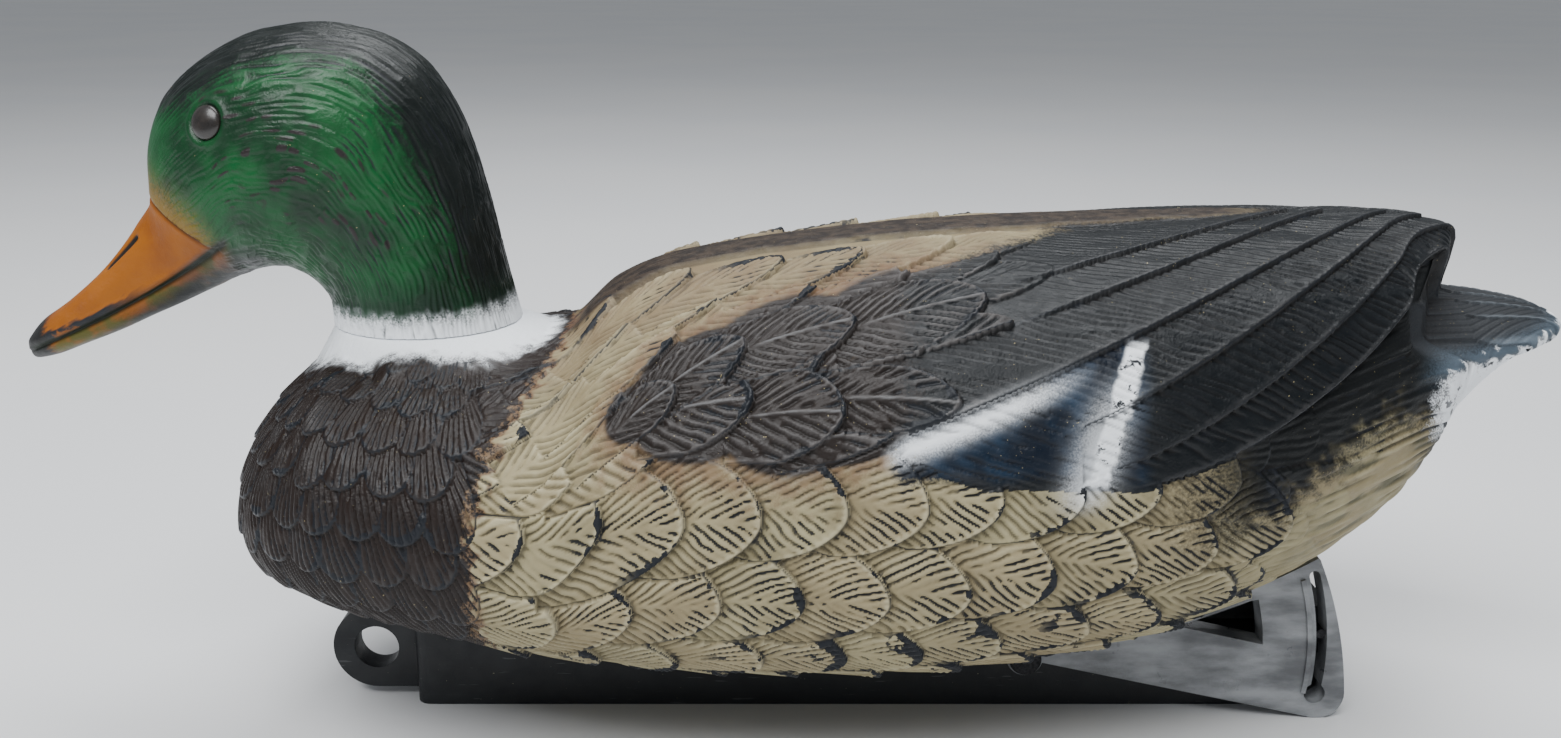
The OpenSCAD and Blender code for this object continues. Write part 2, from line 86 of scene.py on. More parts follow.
# [outer x, outer z, inner x, inner z, half width, fullness]
HEAD_STATIONS = np.array([
    [-73, 110, -121.4, 110, 24.2, 2],
    [-76.2, 124, -121.6, 116, 24.3, 2],
    [-80.2, 143, -124.5, 121, 25, 2.05],
    [-86, 163, -129, 124, 26.4, 2.1],
    [-95.5, 178.2, -133, 125.3, 27.4, 2.15],
    [-108, 185.2, -136, 125.3, 27.9, 2.2],
    [-121, 187.3, -139, 124.8, 27.4, 2.2],
    [-134, 185.8, -141.5, 124.2, 25.8, 2.15],
    [-150, 178.6, -146, 122, 22.5, 2.1],
    [-161.5, 168, -150.5, 119.5, 17.5, 2],
    [-166.5, 155.5, -156, 117, 12.5, 2],
    [-167, 144.5, -163, 113.8, 9.8, 2.2],
    [-172, 136, -170.5, 110.6, 9.4, 2.4],
    [-181, 125, -179, 106.8, 10.6, 2.5],
    [-191, 116.3, -189, 103, 11.4, 2.5],
    [-199, 110.5, -197, 100, 9.6, 2.3],
    [-203.8, 105, -202.6, 98.8, 5.2, 2.1],
    [-205, 101.5, -204.6, 99.8, 0.8, 2],
], float)

neck_joint = [j for j in frame["joints"] if j["name"] == "head_turn"][0]
NECK_X = neck_joint["pos_m"][0] / MM
NECK_Z = neck_joint["pos_m"][2] / MM
NECK_RADIUS = 24.2


def smooth(rows, t):
    """Values of a station table at index positions t: a cubic that never overshoots."""
    step = np.diff(rows, axis=0)
    none = np.zeros_like(rows[:1])
    before = np.vstack([none, step])
    after = np.vstack([step, none])
    total = before + after
    total[total == 0] = 1
    slope = np.where(before * after > 0, 2 * before * after / total, 0)
    i = np.minimum(np.floor(t).astype(int), len(rows) - 2)
    f = (t - i)[:, None]
    start, end, rise = slope[i], slope[i + 1], step[i]
    return rows[i] + f * (start + f * (3 * rise - 2 * start - end + f * (start + end - 2 * rise)))


def swell(value, fullness):
    return np.sign(value) * np.abs(value) ** (2 / fullness)


def arc_length(points):
    """Distance along each row of points, from 0."""
    gap = np.linalg.norm(np.diff(points, axis=-2), axis=-1)
    return np.concatenate([np.zeros(gap.shape[:-1] + (1,)), np.cumsum(gap, axis=-1)], axis=-1)


def evenly(rows, outline, count):
    """Index positions that lie at equal distances along the outline that the stations draw."""
    t = np.linspace(0, len(rows) - 1, 6000)
    far = arc_length(outline(smooth(rows, t)))
    spots = np.interp(np.linspace(0, far[-1], count), far, t)
    return spots, np.linspace(0, far[-1], count)


def half_rings(section, count):
    """Points of one side of each ring, evenly spaced from one end of the half section to the other."""
    quarter = np.linspace(0, 1, 260) ** 2
    a = np.concatenate([-np.pi / 2 * (1 - quarter), np.pi / 2 * (1 - quarter[::-1])[1:]])
    dense = section(a)
    far = arc_length(dense)
    rows = np.empty((len(dense), count, 3))
    spots = np.linspace(0, 1, count)
    for i, ring in enumerate(dense):
        for axis in range(3):
            rows[i, :, axis] = np.interp(spots * far[i, -1], far[i], ring[:, axis])
    return rows, spots[None, :] * far[:, -1:]


def body_section(c):
    x, low, high, half, widest, upper, lower = c.T[..., None]

    def section(a):
        full = np.where(np.sin(a) >= 0, upper, lower)
        rise = np.where(np.sin(a) >= 0, high - widest, widest - low)
        y = -half * swell(np.cos(a), full)
        z = widest + rise * swell(np.sin(a), full)
        return np.stack([np.broadcast_to(x, y.shape), y, z], axis=-1)
    return section


def head_section(c):
    def section(a):
        outer, inner = c[:, 0:2], c[:, 2:4]
        middle = (outer + inner) / 2
        reach = np.linalg.norm(outer - inner, axis=1)[:, None] / 2
        along = (outer - inner) / (2 * reach)
        r = reach * swell(np.sin(a), c[:, 5:6])
        x = middle[:, 0:1] + along[:, 0:1] * r
        y = -c[:, 4:5] * swell(np.cos(a), c[:, 5:6])
        z = middle[:, 1:2] + along[:, 1:2] * r
        return np.stack([x, y, z], axis=-1)
    return section


# ----- helpers for relief

def ease(low, high, value):
    """0 below low, 1 above high, and a smooth rise between them; low may be above high."""
    f = np.clip((value - low) / (high - low), 0, 1)
    return f * f * (3 - 2 * f)


def fall(low, high, value):
    return 1 - ease(low, high, value)


def bump(value, centre, width):
    return np.exp(-((value - centre) / width) ** 2)


def blend(under, over, share):
    return under * (1 - share) + over * share


def grooves(phase, duty=0.0):
    """Rounded ridges, one to each unit of the phase; the duty widens them."""
    return np.clip((np.cos(2 * np.pi * phase) + duty) / (1 + duty), 0, 1)


def in_frame_of(tip, angle, a, b):
    """Distances past a tip along and across a direction in the plane of a and b."""
    c, s = math.cos(math.radians(angle)), math.sin(math.radians(angle))
    da, db = a - tip[0], b - tip[1]
    return da * c + db * s, -da * s + db * c


def noise(u, v, seed):
    """Smooth noise from 0 to 1 with a period of 256 cells."""
    table = np.random.default_rng(seed).random((256, 256))
    iu, iv = np.floor(u).astype(int), np.floor(v).astype(int)
    fu, fv = u - iu, v - iv
    fu, fv = fu * fu * (3 - 2 * fu), fv * fv * (3 - 2 * fv)
    a = table[iu % 256, iv % 256]
    b = table[(iu + 1) % 256, iv % 256]
    c = table[iu % 256, (iv + 1) % 256]
    d = table[(iu + 1) % 256, (iv + 1) % 256]
    return (a * (1 - fu) + b * fu) * (1 - fv) + (c * (1 - fu) + d * fu) * fv


def bowed(start, end, bow):
    """Parabola from start to end, each (along, height), that stands bow off its chord half-way."""
    def height(at):
        f = (at - start[0]) / (end[0] - start[0])
        return start[1] + (end[1] - start[1]) * f + 4 * bow * f * (1 - f)
    return height


# Distance from an edge, in mm, where there is no feather's edge near
FAR_FROM_EDGE = 9.0


class Plumage:
    """Relief and paint masks on one side's grid, painted feather over feather."""

    def __init__(self, shape):
        self.lift = np.zeros(shape)
        self.shaft = np.zeros(shape)
        self.edge = np.full(shape, FAR_FROM_EDGE)
        self.tip = np.zeros(shape)
        self.tone = np.full(shape, 0.5)

    def feather(self, plane, tip, angle, length, width, style, rng, where=None):
        """One leaf-shaped feather whose tip is at a point of the plane, over whatever is there."""
        a, b = plane
        reach = max(length, width)
        near = (np.abs(a - tip[0]) < reach) & (np.abs(b - tip[1]) < reach)
        if where is not None:
            near &= where
        near = np.nonzero(near)
        if not len(near[0]):
            return
        past_tip, v = in_frame_of(tip, angle, a[near], b[near])
        v = v + style["bend"] * (past_tip / length) ** 2 * width
        u = length + past_tip
        wide = style["widest"]
        beyond = np.maximum(u / length - wide, 0) / (1 - wide)
        across = np.abs(v) / (width / 2) * (1 + 0.35 * np.maximum(wide - u / length, 0))
        p, q = style["tip_power"], style["side_power"]
        inside = 1 - beyond ** p - across ** q
        slope_u = p * np.maximum(beyond, 1e-6) ** (p - 1) / (1 - wide) / length
        slope_v = q * np.maximum(across, 1e-6) ** (q - 1) / (width / 2)
        distance = inside / np.maximum(np.hypot(slope_u, slope_v), 0.02)
        keep = (inside > 0) & (u > 0)
        near = (near[0][keep], near[1][keep])
        u, v, distance = u[keep], v[keep], distance[keep]
        self.paint(near, u, v, distance, length, width, style, rng)

    def paint(self, near, u, v, distance, length, width, style, rng):
        share = u / length
        turn = math.radians(style["barb_angle"] + rng.uniform(-4, 4))
        pitch = style["pitch"] * rng.uniform(0.92, 1.1)
        offset = rng.uniform(0, 99)
        wobble = noise(u * 0.13 + offset, v * 0.2 + offset, 3)
        wobble += 0.35 * noise(u * 0.5 + offset, v * 0.6 + offset, 4)
        if style["fan"]:
            back = length * style["fan"]
            phase = np.arctan2(v, u + back) * (length + back) / pitch + 0.5 * wobble
        else:
            turn = turn * (1 - 0.3 * share)
            phase = (u * np.sin(turn) - np.abs(v) * np.cos(turn)) / pitch + 0.55 * wobble
            phase += 0.5 * (v > 0)
        barb = grooves(phase, style["duty"])
        rachis = style["rachis"]
        fade = ease(rachis * 0.5, rachis + 0.7, np.abs(v)) if not style["fan"] else 1
        broken = 0.3 + 0.7 * ease(0.2, 0.4, noise(u * 0.22 + offset, v * 0.5, 5))
        barb = barb * fade * ease(0.3, 1.1, distance) * broken
        shaft = np.exp(-(v / (0.45 * rachis)) ** 2) * ease(0.15, 0.4, share)
        lift = style["base"] + style["rise"] * share ** 1.4
        lift -= style["crown"] * (2 * v / width) ** 2
        lift -= style["round"] * fall(0, 0.9, distance)
        lift += style["rim"] * bump(distance, 0.7, 0.5)
        lift += style["rachis_lift"] * shaft
        lift -= style["depth"] * barb
        self.lift[near] = lift
        self.shaft[near] = shaft * style["rachis_lift"]
        self.edge[near] = distance
        self.tip[near] = share
        self.tone[near] = rng.random()


# ----- body: grid and coordinates

BODY_COLUMNS, BODY_SIDE_ROWS = 1040, 430


def body_outline(c):
    return np.stack([c[:, 0], c[:, 3], c[:, 4]], axis=1)


class BodySide:
    """One side of the body's skin, from the keel line up to the back line."""

    def __init__(self):
        t, run = evenly(BODY_STATIONS, body_outline, BODY_COLUMNS)
        stations = smooth(BODY_STATIONS, t)
        self.points, up = half_rings(body_section(stations), BODY_SIDE_ROWS)
        self.x, self.y, self.z = (self.points[..., i] for i in range(3))
        self.down = up[:, -1:] - up
        run = run - np.interp(0, stations[:, 0], run)
        self.run = np.repeat(run[:, None], BODY_SIDE_ROWS, axis=1)
        self.run_of_x = (stations[:, 0], run)
        # Round the breast, plumage follows the compass round a centre inside it
        about_x, about_z = self.x + 78, self.z - 68
        self.around = 66 * (np.arctan2(np.abs(self.y), -about_x) - np.pi / 2)
        self.rising = 58 * np.arctan2(about_z, np.hypot(about_x, self.y))

    def run_at(self, x):
        return float(np.interp(x, *self.run_of_x))


side = BodySide()
plume = Plumage(side.x.shape)
rng = np.random.default_rng(11)
plane = (side.run, -side.down)
x, y, z, down = side.x, side.y, side.z, side.down

# ----- body: feathers

# What the kinds of feathers share, and then each kind's own values; lengths in mm, angles in degrees
PLAIN = dict(fan=None, barb_angle=35, duty=0.1, bend=0.0, rachis=0.6, round=0.25, rim=0.0, base=0.1,
             widest=0.5, rachis_lift=0.0)
FLANK = dict(PLAIN, barb_angle=46, pitch=1.8, duty=0.0, rise=2.1, depth=0.8, crown=0.6, tip_power=1.7,
             side_power=1.7, widest=0.4, rachis=0.45, round=0.4, rim=0.3)
BREAST = dict(PLAIN, fan=0.5, pitch=2.1, duty=0.2, rise=1.4, base=0.0, depth=0.75, crown=0.5,
              tip_power=2.6, side_power=2.2, round=0.35)
SCAPULAR = dict(PLAIN, barb_angle=36, pitch=1.9, rise=2.0, depth=0.65, crown=0.3, tip_power=1.8,
                side_power=1.6, rachis=0.5, rachis_lift=0.15, rim=0.4)
COVERT = dict(PLAIN, barb_angle=40, duty=0.4, rise=1.6, base=0.4, depth=0.8, crown=0.5, tip_power=1.7,
              side_power=1.6, widest=0.45, rachis=0.7, rachis_lift=0.55, rim=0.45, bend=0.12)
RUMP = dict(PLAIN, barb_angle=18, pitch=2.1, rise=0.6, depth=0.4, crown=0.1, tip_power=2, side_power=2,
            rachis=0.5)


def lay_rows(lines, span, pitch, angle, length, width, style, jitter=1.2):
    """Rows laid from the lowest to the highest, and each row from the tail forwards."""
    for index, line in enumerate(lines):
        count = int((span[1] - span[0]) / pitch)
        for k in range(count, -1, -1):
            along = span[0] + (k + 0.5 * (index % 2)) * pitch + rng.uniform(-jitter, jitter)
            if along > span[1] + 2:
                continue
            down = line(along) + rng.uniform(-jitter, jitter)
            tilt = angle(along) if callable(angle) else angle
            size = rng.uniform(0.94, 1.06)
            plume.feather(plane, (side.run_at(along), -down), tilt + rng.uniform(-3, 3),
                          length * size, width * size, style, rng)


def flank_tilt(x):
    return -12 + 0.11 * max(x - 30, 0)


# Rump and undertail: small soft feathers under everything else
lay_rows(
    [bowed((90, 150 - 15 * k), (165, 92 - 12 * k), 8) for k in range(5)],
    (100, 166), 13, 20, 24, 17, RUMP)
# Flank rows from the keel upwards, each given by its tips' distance down from the back line
lay_rows(
    [
        bowed((-90, 160), (110, 158), 26),
        bowed((-90, 144), (110, 144), 20),
        bowed((-90, 124), (112, 127), 20),
        bowed((-90, 98), (126, 100), 25),
    ],
    (-86, 122), 19.6, flank_tilt, 36, 30, FLANK)
lay_rows([bowed((-86, 77), (122, 85), 21)], (-80, 118), 18.4, flank_tilt, 34, 30, FLANK)
lay_rows([bowed((-80, 58), (-5, 82), 0)], (-78, -18), 17, -6, 32, 27, FLANK)

# Tan feathers of the shoulder, which sweep up to the back
lay_rows(
    [
        bowed((-62, 42), (-25, 55), 1),
        bowed((-62, 30), (60, 36), 12),
        bowed((-58, 20), (80, 22), 11),
        bowed((-52, 12), (90, 12), 8),
    ],
    (-58, 66), 22, lambda x: 30 - 0.12 * (x + 58), 40, 17, SCAPULAR)


# ----- body: the folded wing

# Lower edges of the wing's long feathers, highest first: where each starts and ends, as (x, distance
# down from the back line), and its bow
WING_LINES = [
    ((20, 53), (128, 2), 6),
    ((30, 63), (140, 0), 9),
    ((18, 86), (156, 0), 12),
    ((58, 86), (160, 4), 10),
    ((66, 95), (166, 8), 13),
    ((20, 86), (170, 14), 40),
]
above = np.stack([bowed(*line)(x) - down for line in WING_LINES])
started = np.stack([x > start[0] for start, end, bow in WING_LINES])
WING_END = 172.5
wing = (above[5] > 0) & (x < WING_END) & (down < 96) & (z > 84)
wing_front = np.where(above[1] > 0, ease(46, 74, x), ease(16, 30, x))


def long_feathers():
    """Bands between the wing's lines, each raised along its lower edge over the next."""
    slant = math.radians(18)
    for k in range(len(WING_LINES) - 1, -1, -1):
        band = wing & (above[k] > 0) & started[k]
        if k:
            band &= (above[k - 1] <= 0) | ~started[k - 1]
        near = np.nonzero(band)
        # The lines slant, so the gap square to an edge is shorter than the gap straight down
        over = above[k][near] * 0.8
        x, h = side.x[near], -side.down[near]
        pitch = 1.75 + 0.13 * k
        wobble = noise(x * 0.1 + 7 * k, h * 0.25, 21)
        phase = (x * math.sin(slant) + h * math.cos(slant)) / pitch + 0.8 * wobble
        barb = np.clip(np.cos(2 * np.pi * phase) + 0.1, 0, 1)
        broken = ease(0.15, 0.45, noise(x * 0.09, h * 0.5 + 13 * k, 23))
        barb = barb * broken * ease(0.4, 1.4, over)
        # Each raised edge grows out of the surface over its first stretch
        grown = ease(0, 22, x - WING_LINES[k][0][0])
        step = (1.5 * np.exp(-over / 4.5) - 0.35 * fall(0, 0.9, over)) * grown
        lift = 0.35 + step - (0.26 + 0.05 * k) * barb
        share = wing_front[near]
        plume.lift[near] = blend(plume.lift[near], lift, share)
        plume.shaft[near] = 0
        plume.edge[near] = np.where(grown > 0.3, over, FAR_FROM_EDGE)
        plume.tip[near] = 0.5
        plume.tone[near] = 0.3 + 0.4 * ((k * 7) % 5) / 5


long_feathers()

# Coverts: (tip x, tip distance down, angle, length, width), from the lowest to the highest
COVERTS = [
    (26, 80, 6, 32, 12), (38, 77, -11, 34, 18), (12, 77, -10, 28, 24), (-9, 71, -8, 27, 23),
    (46, 47, 8, 38, 25), (15, 52, 5, 32, 21), (-11, 54, 22, 26, 17), (-27, 64, 18, 16, 14),
]
for tip_x, tip_down, tilt, long, wide in COVERTS:
    coarseness = 2.3 if tip_down > 65 else 1.75
    style = dict(COVERT, pitch=coarseness)
    plume.feather(plane, (side.run_at(tip_x), -tip_down), tilt, long, wide, style, rng)

# Breast: rows of fan-shaped scales, from the lowest to the highest
breast_plane = (side.around, side.rising)
breast_zone = x < -58
for row in range(13):
    height = -46 + 9.6 * row
    for k in range(11, -1, -1):
        reach = -100 + 11.8 * (k + 0.5 * (row % 2))
        limit = 6 - 4 * abs(row - 5) / 5
        if reach > limit:
            continue
        tilt = -78 + 0.12 * (reach + 60)
        tip_at = (reach + rng.uniform(-1, 1), height + rng.uniform(-0.8, 0.8))
        plume.feather(breast_plane, tip_at, tilt, 22, 15, BREAST, rng, breast_zone)

# ----- body: sculpted form and masks

from_neck = np.hypot(x - NECK_X, y)

# Back ridge: a raised strip of narrow feathers with scalloped edges
scallops = 1.3 * np.abs(np.sin((x + 60) * np.pi / 26))
ridge_half = 8.5 + scallops - 5.5 * ease(60, 130, x) + 6 * ease(-22, -54, x)
ridge = fall(ridge_half - 0.7, ridge_half + 0.5, down) * ease(-66, -52, x) * fall(112, 132, x)
ridge_barb = grooves(down / 1.5 + 0.5 * noise(x * 0.12, down, 31))
plume.lift = blend(plume.lift, 1.5 + bump(x, -48, 13) - 0.28 * ridge_barb, ridge)

# Undertail: the scales fade into long soft streaks that run up towards the tail
soft = ease(116, 142, x) * (above[5] <= 0) * fall(166, 170, x)
streaks = noise((down + 0.62 * x) * 0.8, (x - 0.4 * down) * 0.075, 33)
plume.lift = blend(plume.lift, 0.2 + 1.2 * streaks, soft)
plume.edge = blend(plume.edge, FAR_FROM_EDGE, soft)

# Neck: striations radiate out of the white ring, and a fillet leads up to the joint
on_top = ease(78, 88, z)
neck_zone = on_top * fall(30, 46, from_neck + 0.25 * np.abs(y))
neck_turn = np.arctan2(np.abs(y), x - NECK_X)
neck_lines = np.clip(np.cos(neck_turn * 62 + 2.5 * noise(neck_turn * 9, from_neck * 0.2, 37)), 0, 1)
plume.lift = blend(plume.lift, 0.4 - 0.22 * neck_lines, neck_zone)

# Tail: lengthwise feathers with light edges, and a smooth notch below the wing's end
tail = ease(160, 168, x) * (1 - ease(119.5, 121, z) * fall(171, 172.5, x))
TAIL_EDGES = (4.5, 11, 18, 25.5)
tail_lift = np.zeros_like(x)
tail_edge = np.zeros_like(x)
for edge_y in TAIL_EDGES:
    line_y = edge_y * (1 - 0.35 * ease(175, 204, x))
    gap = np.abs(y) - line_y
    tail_lift += 0.55 * np.exp(-np.maximum(-gap, 0) / 2.5) * (gap < 0)
    tail_edge = np.maximum(tail_edge, bump(gap, -0.5, 0.6) * (z > 108))
tail_barb = grooves(x * 0.36 + np.abs(y) * 0.5) * (z > 106)
upper_tail = tail * ease(104, 107, z)
plume.lift = blend(plume.lift, 0.9 + tail_lift - 0.16 * tail_barb, upper_tail)

# The wing stands out over the rump along its lower edge
wing_step = ease(-1.0, 0.4, above[5] * 0.8) * ease(68, 110, x) * (x < WING_END) * (z > 84)
tuck = (1 - wing_step) * ease(92, 128, x) * (x < 172) * np.exp(-np.maximum(-above[5], 0) / 16) * (z > 86)


def unit(vectors):
    return vectors / np.maximum(np.linalg.norm(vectors, axis=-1, keepdims=True), 1e-9)


def side_normals(points):
    along = np.gradient(points, axis=0)
    around = np.gradient(points, axis=1)
    normal = unit(np.cross(around, along))
    if (normal[..., 1] * points[..., 1]).sum() < 0:
        normal = -normal
    normal[:, (0, -1), 1] = 0
    return unit(normal)


def blurred(field, reach):
    """Mean over a square that reaches so many cells each way."""
    for axis in (0, 1):
        pads = [(0, 0), (0, 0)]
        pads[axis] = (reach + 1, reach)
        sums = np.cumsum(np.pad(field, pads, mode="edge"), axis=axis)
        width = 2 * reach + 1
        field = (np.take(sums, range(width, sums.shape[axis]), axis=axis)
                 - np.take(sums, range(0, sums.shape[axis] - width), axis=axis)) / width
    return field


normals = side_normals(side.points)
relief = plume.lift - 0.9 - 2.3 * tuck
depth_here = blurred(blurred(relief, 3), 3) - relief
hollow, crest = ease(0.06, 0.5, depth_here), ease(0.05, 0.45, -depth_here)
relief *= ease(0, 6, np.minimum(x + 147, 205.5 - x) + 1)
# Over the keel bar the skin is smooth and reaches down to it
keel_seat = fall(10, 16, np.abs(y)) * ease(-116, -107, x) * fall(84, 96, x) * (z < 60)
relief = blend(relief, 0.2, keel_seat)
formed = side.points + normals * relief[..., None]
# Fillet up to the neck's joint
seat_slope = 0.5 + 1.6 * ease(2, 17, NECK_X - x)
seat = NECK_Z - 0.15 - seat_slope * np.maximum(from_neck - NECK_RADIUS - 0.6, 0) ** 0.9
raise_by = np.maximum(seat - formed[..., 2], 0) * (z > 90) * fall(33, 40, from_neck)
formed[..., 2] += raise_by
under_neck = np.minimum(formed[..., 2], NECK_Z - 0.1)
formed[..., 2] = np.where(from_neck < NECK_RADIUS + 4, under_neck, formed[..., 2])
# The folded wings' ends meet in a point over the tail and slant forwards on each side and below
end_shift = 4.4 - 0.52 * np.abs(y) - 2.7 * ease(132, 119, z)
formed[..., 0] += end_shift * ease(150, 171, x) * (x < 172) * ease(104, 112, z)
formed[:, (0, -1), 1] = 0

# Masks for the paint
speckle = noise(x * 0.5, down * 0.5, 41) - 0.5
chest_line = -58 - 19 * ease(0, 100, down)
masks = {
    "breast": fall(-4, 4, x - chest_line + 6 * speckle),
    "white_neck": on_top * fall(27.5, 33.5, from_neck + 3 * speckle - 4 * ease(0, 24, x - NECK_X)),
    "edge": np.clip(plume.edge, 0, 6) / 6,
    "shaft": plume.shaft, "tip": plume.tip, "tone": plume.tone,
    "ridge": ridge, "hollow": hollow, "crest": crest, "tail": tail,
}
covert_area, covert_fade = np.zeros_like(x), np.zeros_like(x)
for tip_x, tip_down, tilt, long, wide in COVERTS:
    u, v = in_frame_of((side.run_at(tip_x), -tip_down), tilt, *plane)
    away = np.hypot((u + long * 0.45) / (long * 0.62), v / (wide * 0.62))
    covert_area = np.maximum(covert_area, fall(0.8, 1.25, away))
    covert_fade = np.maximum(covert_fade, fall(0.9, 1.9, away + 0.5 * speckle))
masks["coverts"], masks["covert_fade"] = covert_area, covert_fade
dark_from = 22 + 40 * ease(44, 10, down)
masks["primaries"] = ease(-6, 16, x - dark_from + 5 * speckle) * (above[5] > -1) * (down < 97)
masks["primaries"] *= 1 - ridge
below_wing = np.maximum(-above[5], 0)
masks["rump"] = fall(16, 33, below_wing + 9 * speckle) * (above[5] <= 0)
masks["rump"] *= ease(78, 118, x + 0.3 * (110 - down))
above_tail = ease(86, 97, z + 5 * speckle) * ease(130, 152, x) * (above[5] <= 0)
masks["rump"] = np.maximum(masks["rump"], above_tail)
masks["tail_edge"] = tail_edge * ease(173, 181, x)
tail_wide = np.interp(x, BODY_STATIONS[:, 0], BODY_STATIONS[:, 4])
below_edge = fall(-3, 2.5, z - tail_wide + 6 * speckle)
masks["tail_white"] = below_edge * ease(155, 168, x + 5 * speckle) * ease(80, 90, z)
masks["tail_glow"] = bump(z - tail_wide, 0.5, 2.6) * ease(152, 166, x) * (x < 202)
masks["tail_white"] = np.maximum(masks["tail_white"], ease(200, 203, x + 3 * speckle))
stripe = above[2]
masks["speculum"] = ease(1, -1.5, stripe) * ease(20, 26, x) * fall(77, 84, x) * fall(91, 97, down)
masks["white_stripe"] = bump(stripe, -3.2, 2.8) * ease(19, 27, x) * fall(44, 72, x)
bar_x = 80 - 0.3 * (down - 60)
bar_width = fall(1.9, 3.2, np.abs(x - bar_x + 1.5 * speckle))
masks["white_bar"] = bar_width * ease(59.5, 63, down) * fall(93, 98, down)
masks["white_glow"] = bump(x, bar_x - 2, 5) * ease(66, 88, down) * fall(97, 105, down)
masks["streak"] = soft * ease(0.5, 0.32, streaks)
masks["belly"] = ease(104, 146, down + 12 * speckle)
masks["back"] = ease(64, 26, down + 8 * speckle) * (1 - masks["breast"])


# ----- meshes from half grids

def add_object(name, data):
    made = bpy.data.objects.new(name, data)
    bpy.context.scene.collection.objects.link(made)
    return made


def loop_both_sides(half):
    """Whole rings from one side's points: up the -Y side, over the back and down the +Y side."""
    other = half[:, -2:0:-1].copy()
    if half.ndim == 3 and half.shape[-1] == 3:
        other[..., 1] *= -1
    return np.concatenate([half, other], axis=1)


def grid_piece(name, half, half_masks, flip=False):
    """Closed mesh from half rings, with its masks as attributes and an even UV layout."""
    rings = loop_both_sides(half)
    columns, rows = rings.shape[:2]
    index = np.arange(columns * rows).reshape(columns, rows)
    after = np.roll(index, -1, axis=1)
    quads = np.stack([index[:-1], index[1:], after[1:], after[:-1]], axis=-1).reshape(-1, 4)
    if flip:
        quads = quads[:, ::-1]
    points = rings.reshape(-1, 3)
    middle_first, middle_last = points[:rows].mean(0), points[-rows:].mean(0)
    points = np.vstack([points, middle_first, middle_last]) * MM
    first, last = len(points) - 2, len(points) - 1
    start = np.stack([np.full(rows, first), index[0], after[0]], axis=-1)
    end = np.stack([np.full(rows, last), after[-1], index[-1]], axis=-1)
    if flip:
        start, end = start[:, ::-1], end[:, ::-1]
    loops = np.concatenate([quads.ravel(), start.ravel(), end.ravel()])
    sizes = np.concatenate([np.full(len(quads), 4), np.full(2 * rows, 3)])
    mesh = bpy.data.meshes.new(name)
    mesh.vertices.add(len(points))
    mesh.vertices.foreach_set("co", points.astype(np.float32).ravel())
    mesh.loops.add(len(loops))
    mesh.loops.foreach_set("vertex_index", loops.astype(np.int32))
    mesh.polygons.add(len(sizes))
    starts = np.concatenate([[0], np.cumsum(sizes)[:-1]])
    mesh.polygons.foreach_set("loop_start", starts.astype(np.int32))
    mesh.polygons.foreach_set("loop_total", sizes.astype(np.int32))
    mesh.update(calc_edges=True)
    mesh.validate()
    mesh.shade_smooth()
    for key, values in half_masks.items():
        whole = loop_both_sides(values).ravel()
        whole = np.concatenate([whole, [whole[:rows].mean(), whole[-rows:].mean()]])
        layer = mesh.attributes.new(key, "FLOAT", "POINT")
        layer.data.foreach_set("value", whole.astype(np.float32))
    lay_out_uv(mesh, columns, rows)
    return add_object(name, mesh)


def lay_out_uv(mesh, columns, rows):
    """UV layer for baking: along the skin one way and round it the other."""
    count = len(mesh.vertices)
    u = np.concatenate([np.repeat(np.linspace(0.01, 0.99, columns), rows), [0.005, 0.995]])
    v = np.concatenate([np.tile(np.arange(rows) / rows, columns), [0.5, 0.5]])
    index = np.zeros(len(mesh.loops), np.int32)
    mesh.loops.foreach_get("vertex_index", index)
    uv = np.stack([u[index], v[index] * 0.98 + 0.005], axis=1)
    face = np.repeat(np.arange(len(mesh.polygons)), [p.loop_total for p in mesh.polygons])
    highest = np.zeros(len(mesh.polygons))
    np.maximum.at(highest, face, uv[:, 1])
    wraps = (uv[:, 1] < 0.1) & (highest[face] > 0.9) & (index < count - 2)
    uv[wraps, 1] = 0.985
    layer = mesh.uv_layers.new(name="OFBake")
    layer.data.foreach_set("uv", uv.astype(np.float32).ravel())


body_skin = grid_piece("body_skin", formed, masks)
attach(body_skin, "hull")
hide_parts("body_shell")


# ----- head: grid, relief and masks

HEAD_COLUMNS, HEAD_SIDE_ROWS = 760, 260

# Edge between the cheek and the bill, and the line of the mouth, in x and z
cheek_edge = bowed((-172, 149), (-140, 128), -1)
mouth_line = bowed((-205, 102), (-146, 132), -2.5)


def head_outline(c):
    high = 0.75 * c[:, 0:2] + 0.25 * c[:, 2:4]
    return np.stack([high[:, 0], c[:, 4], high[:, 1]], axis=1)


head_t, head_far = evenly(HEAD_STATIONS, head_outline, HEAD_COLUMNS)
head_points, head_up = half_rings(head_section(smooth(HEAD_STATIONS, head_t)), HEAD_SIDE_ROWS)
hx, hy, hz = (head_points[..., i] for i in range(3))
share = head_up / head_up[:, -1:]
far = np.repeat(head_far[:, None], HEAD_SIDE_ROWS, axis=1)
station = np.repeat(head_t[:, None], HEAD_SIDE_ROWS, axis=1)

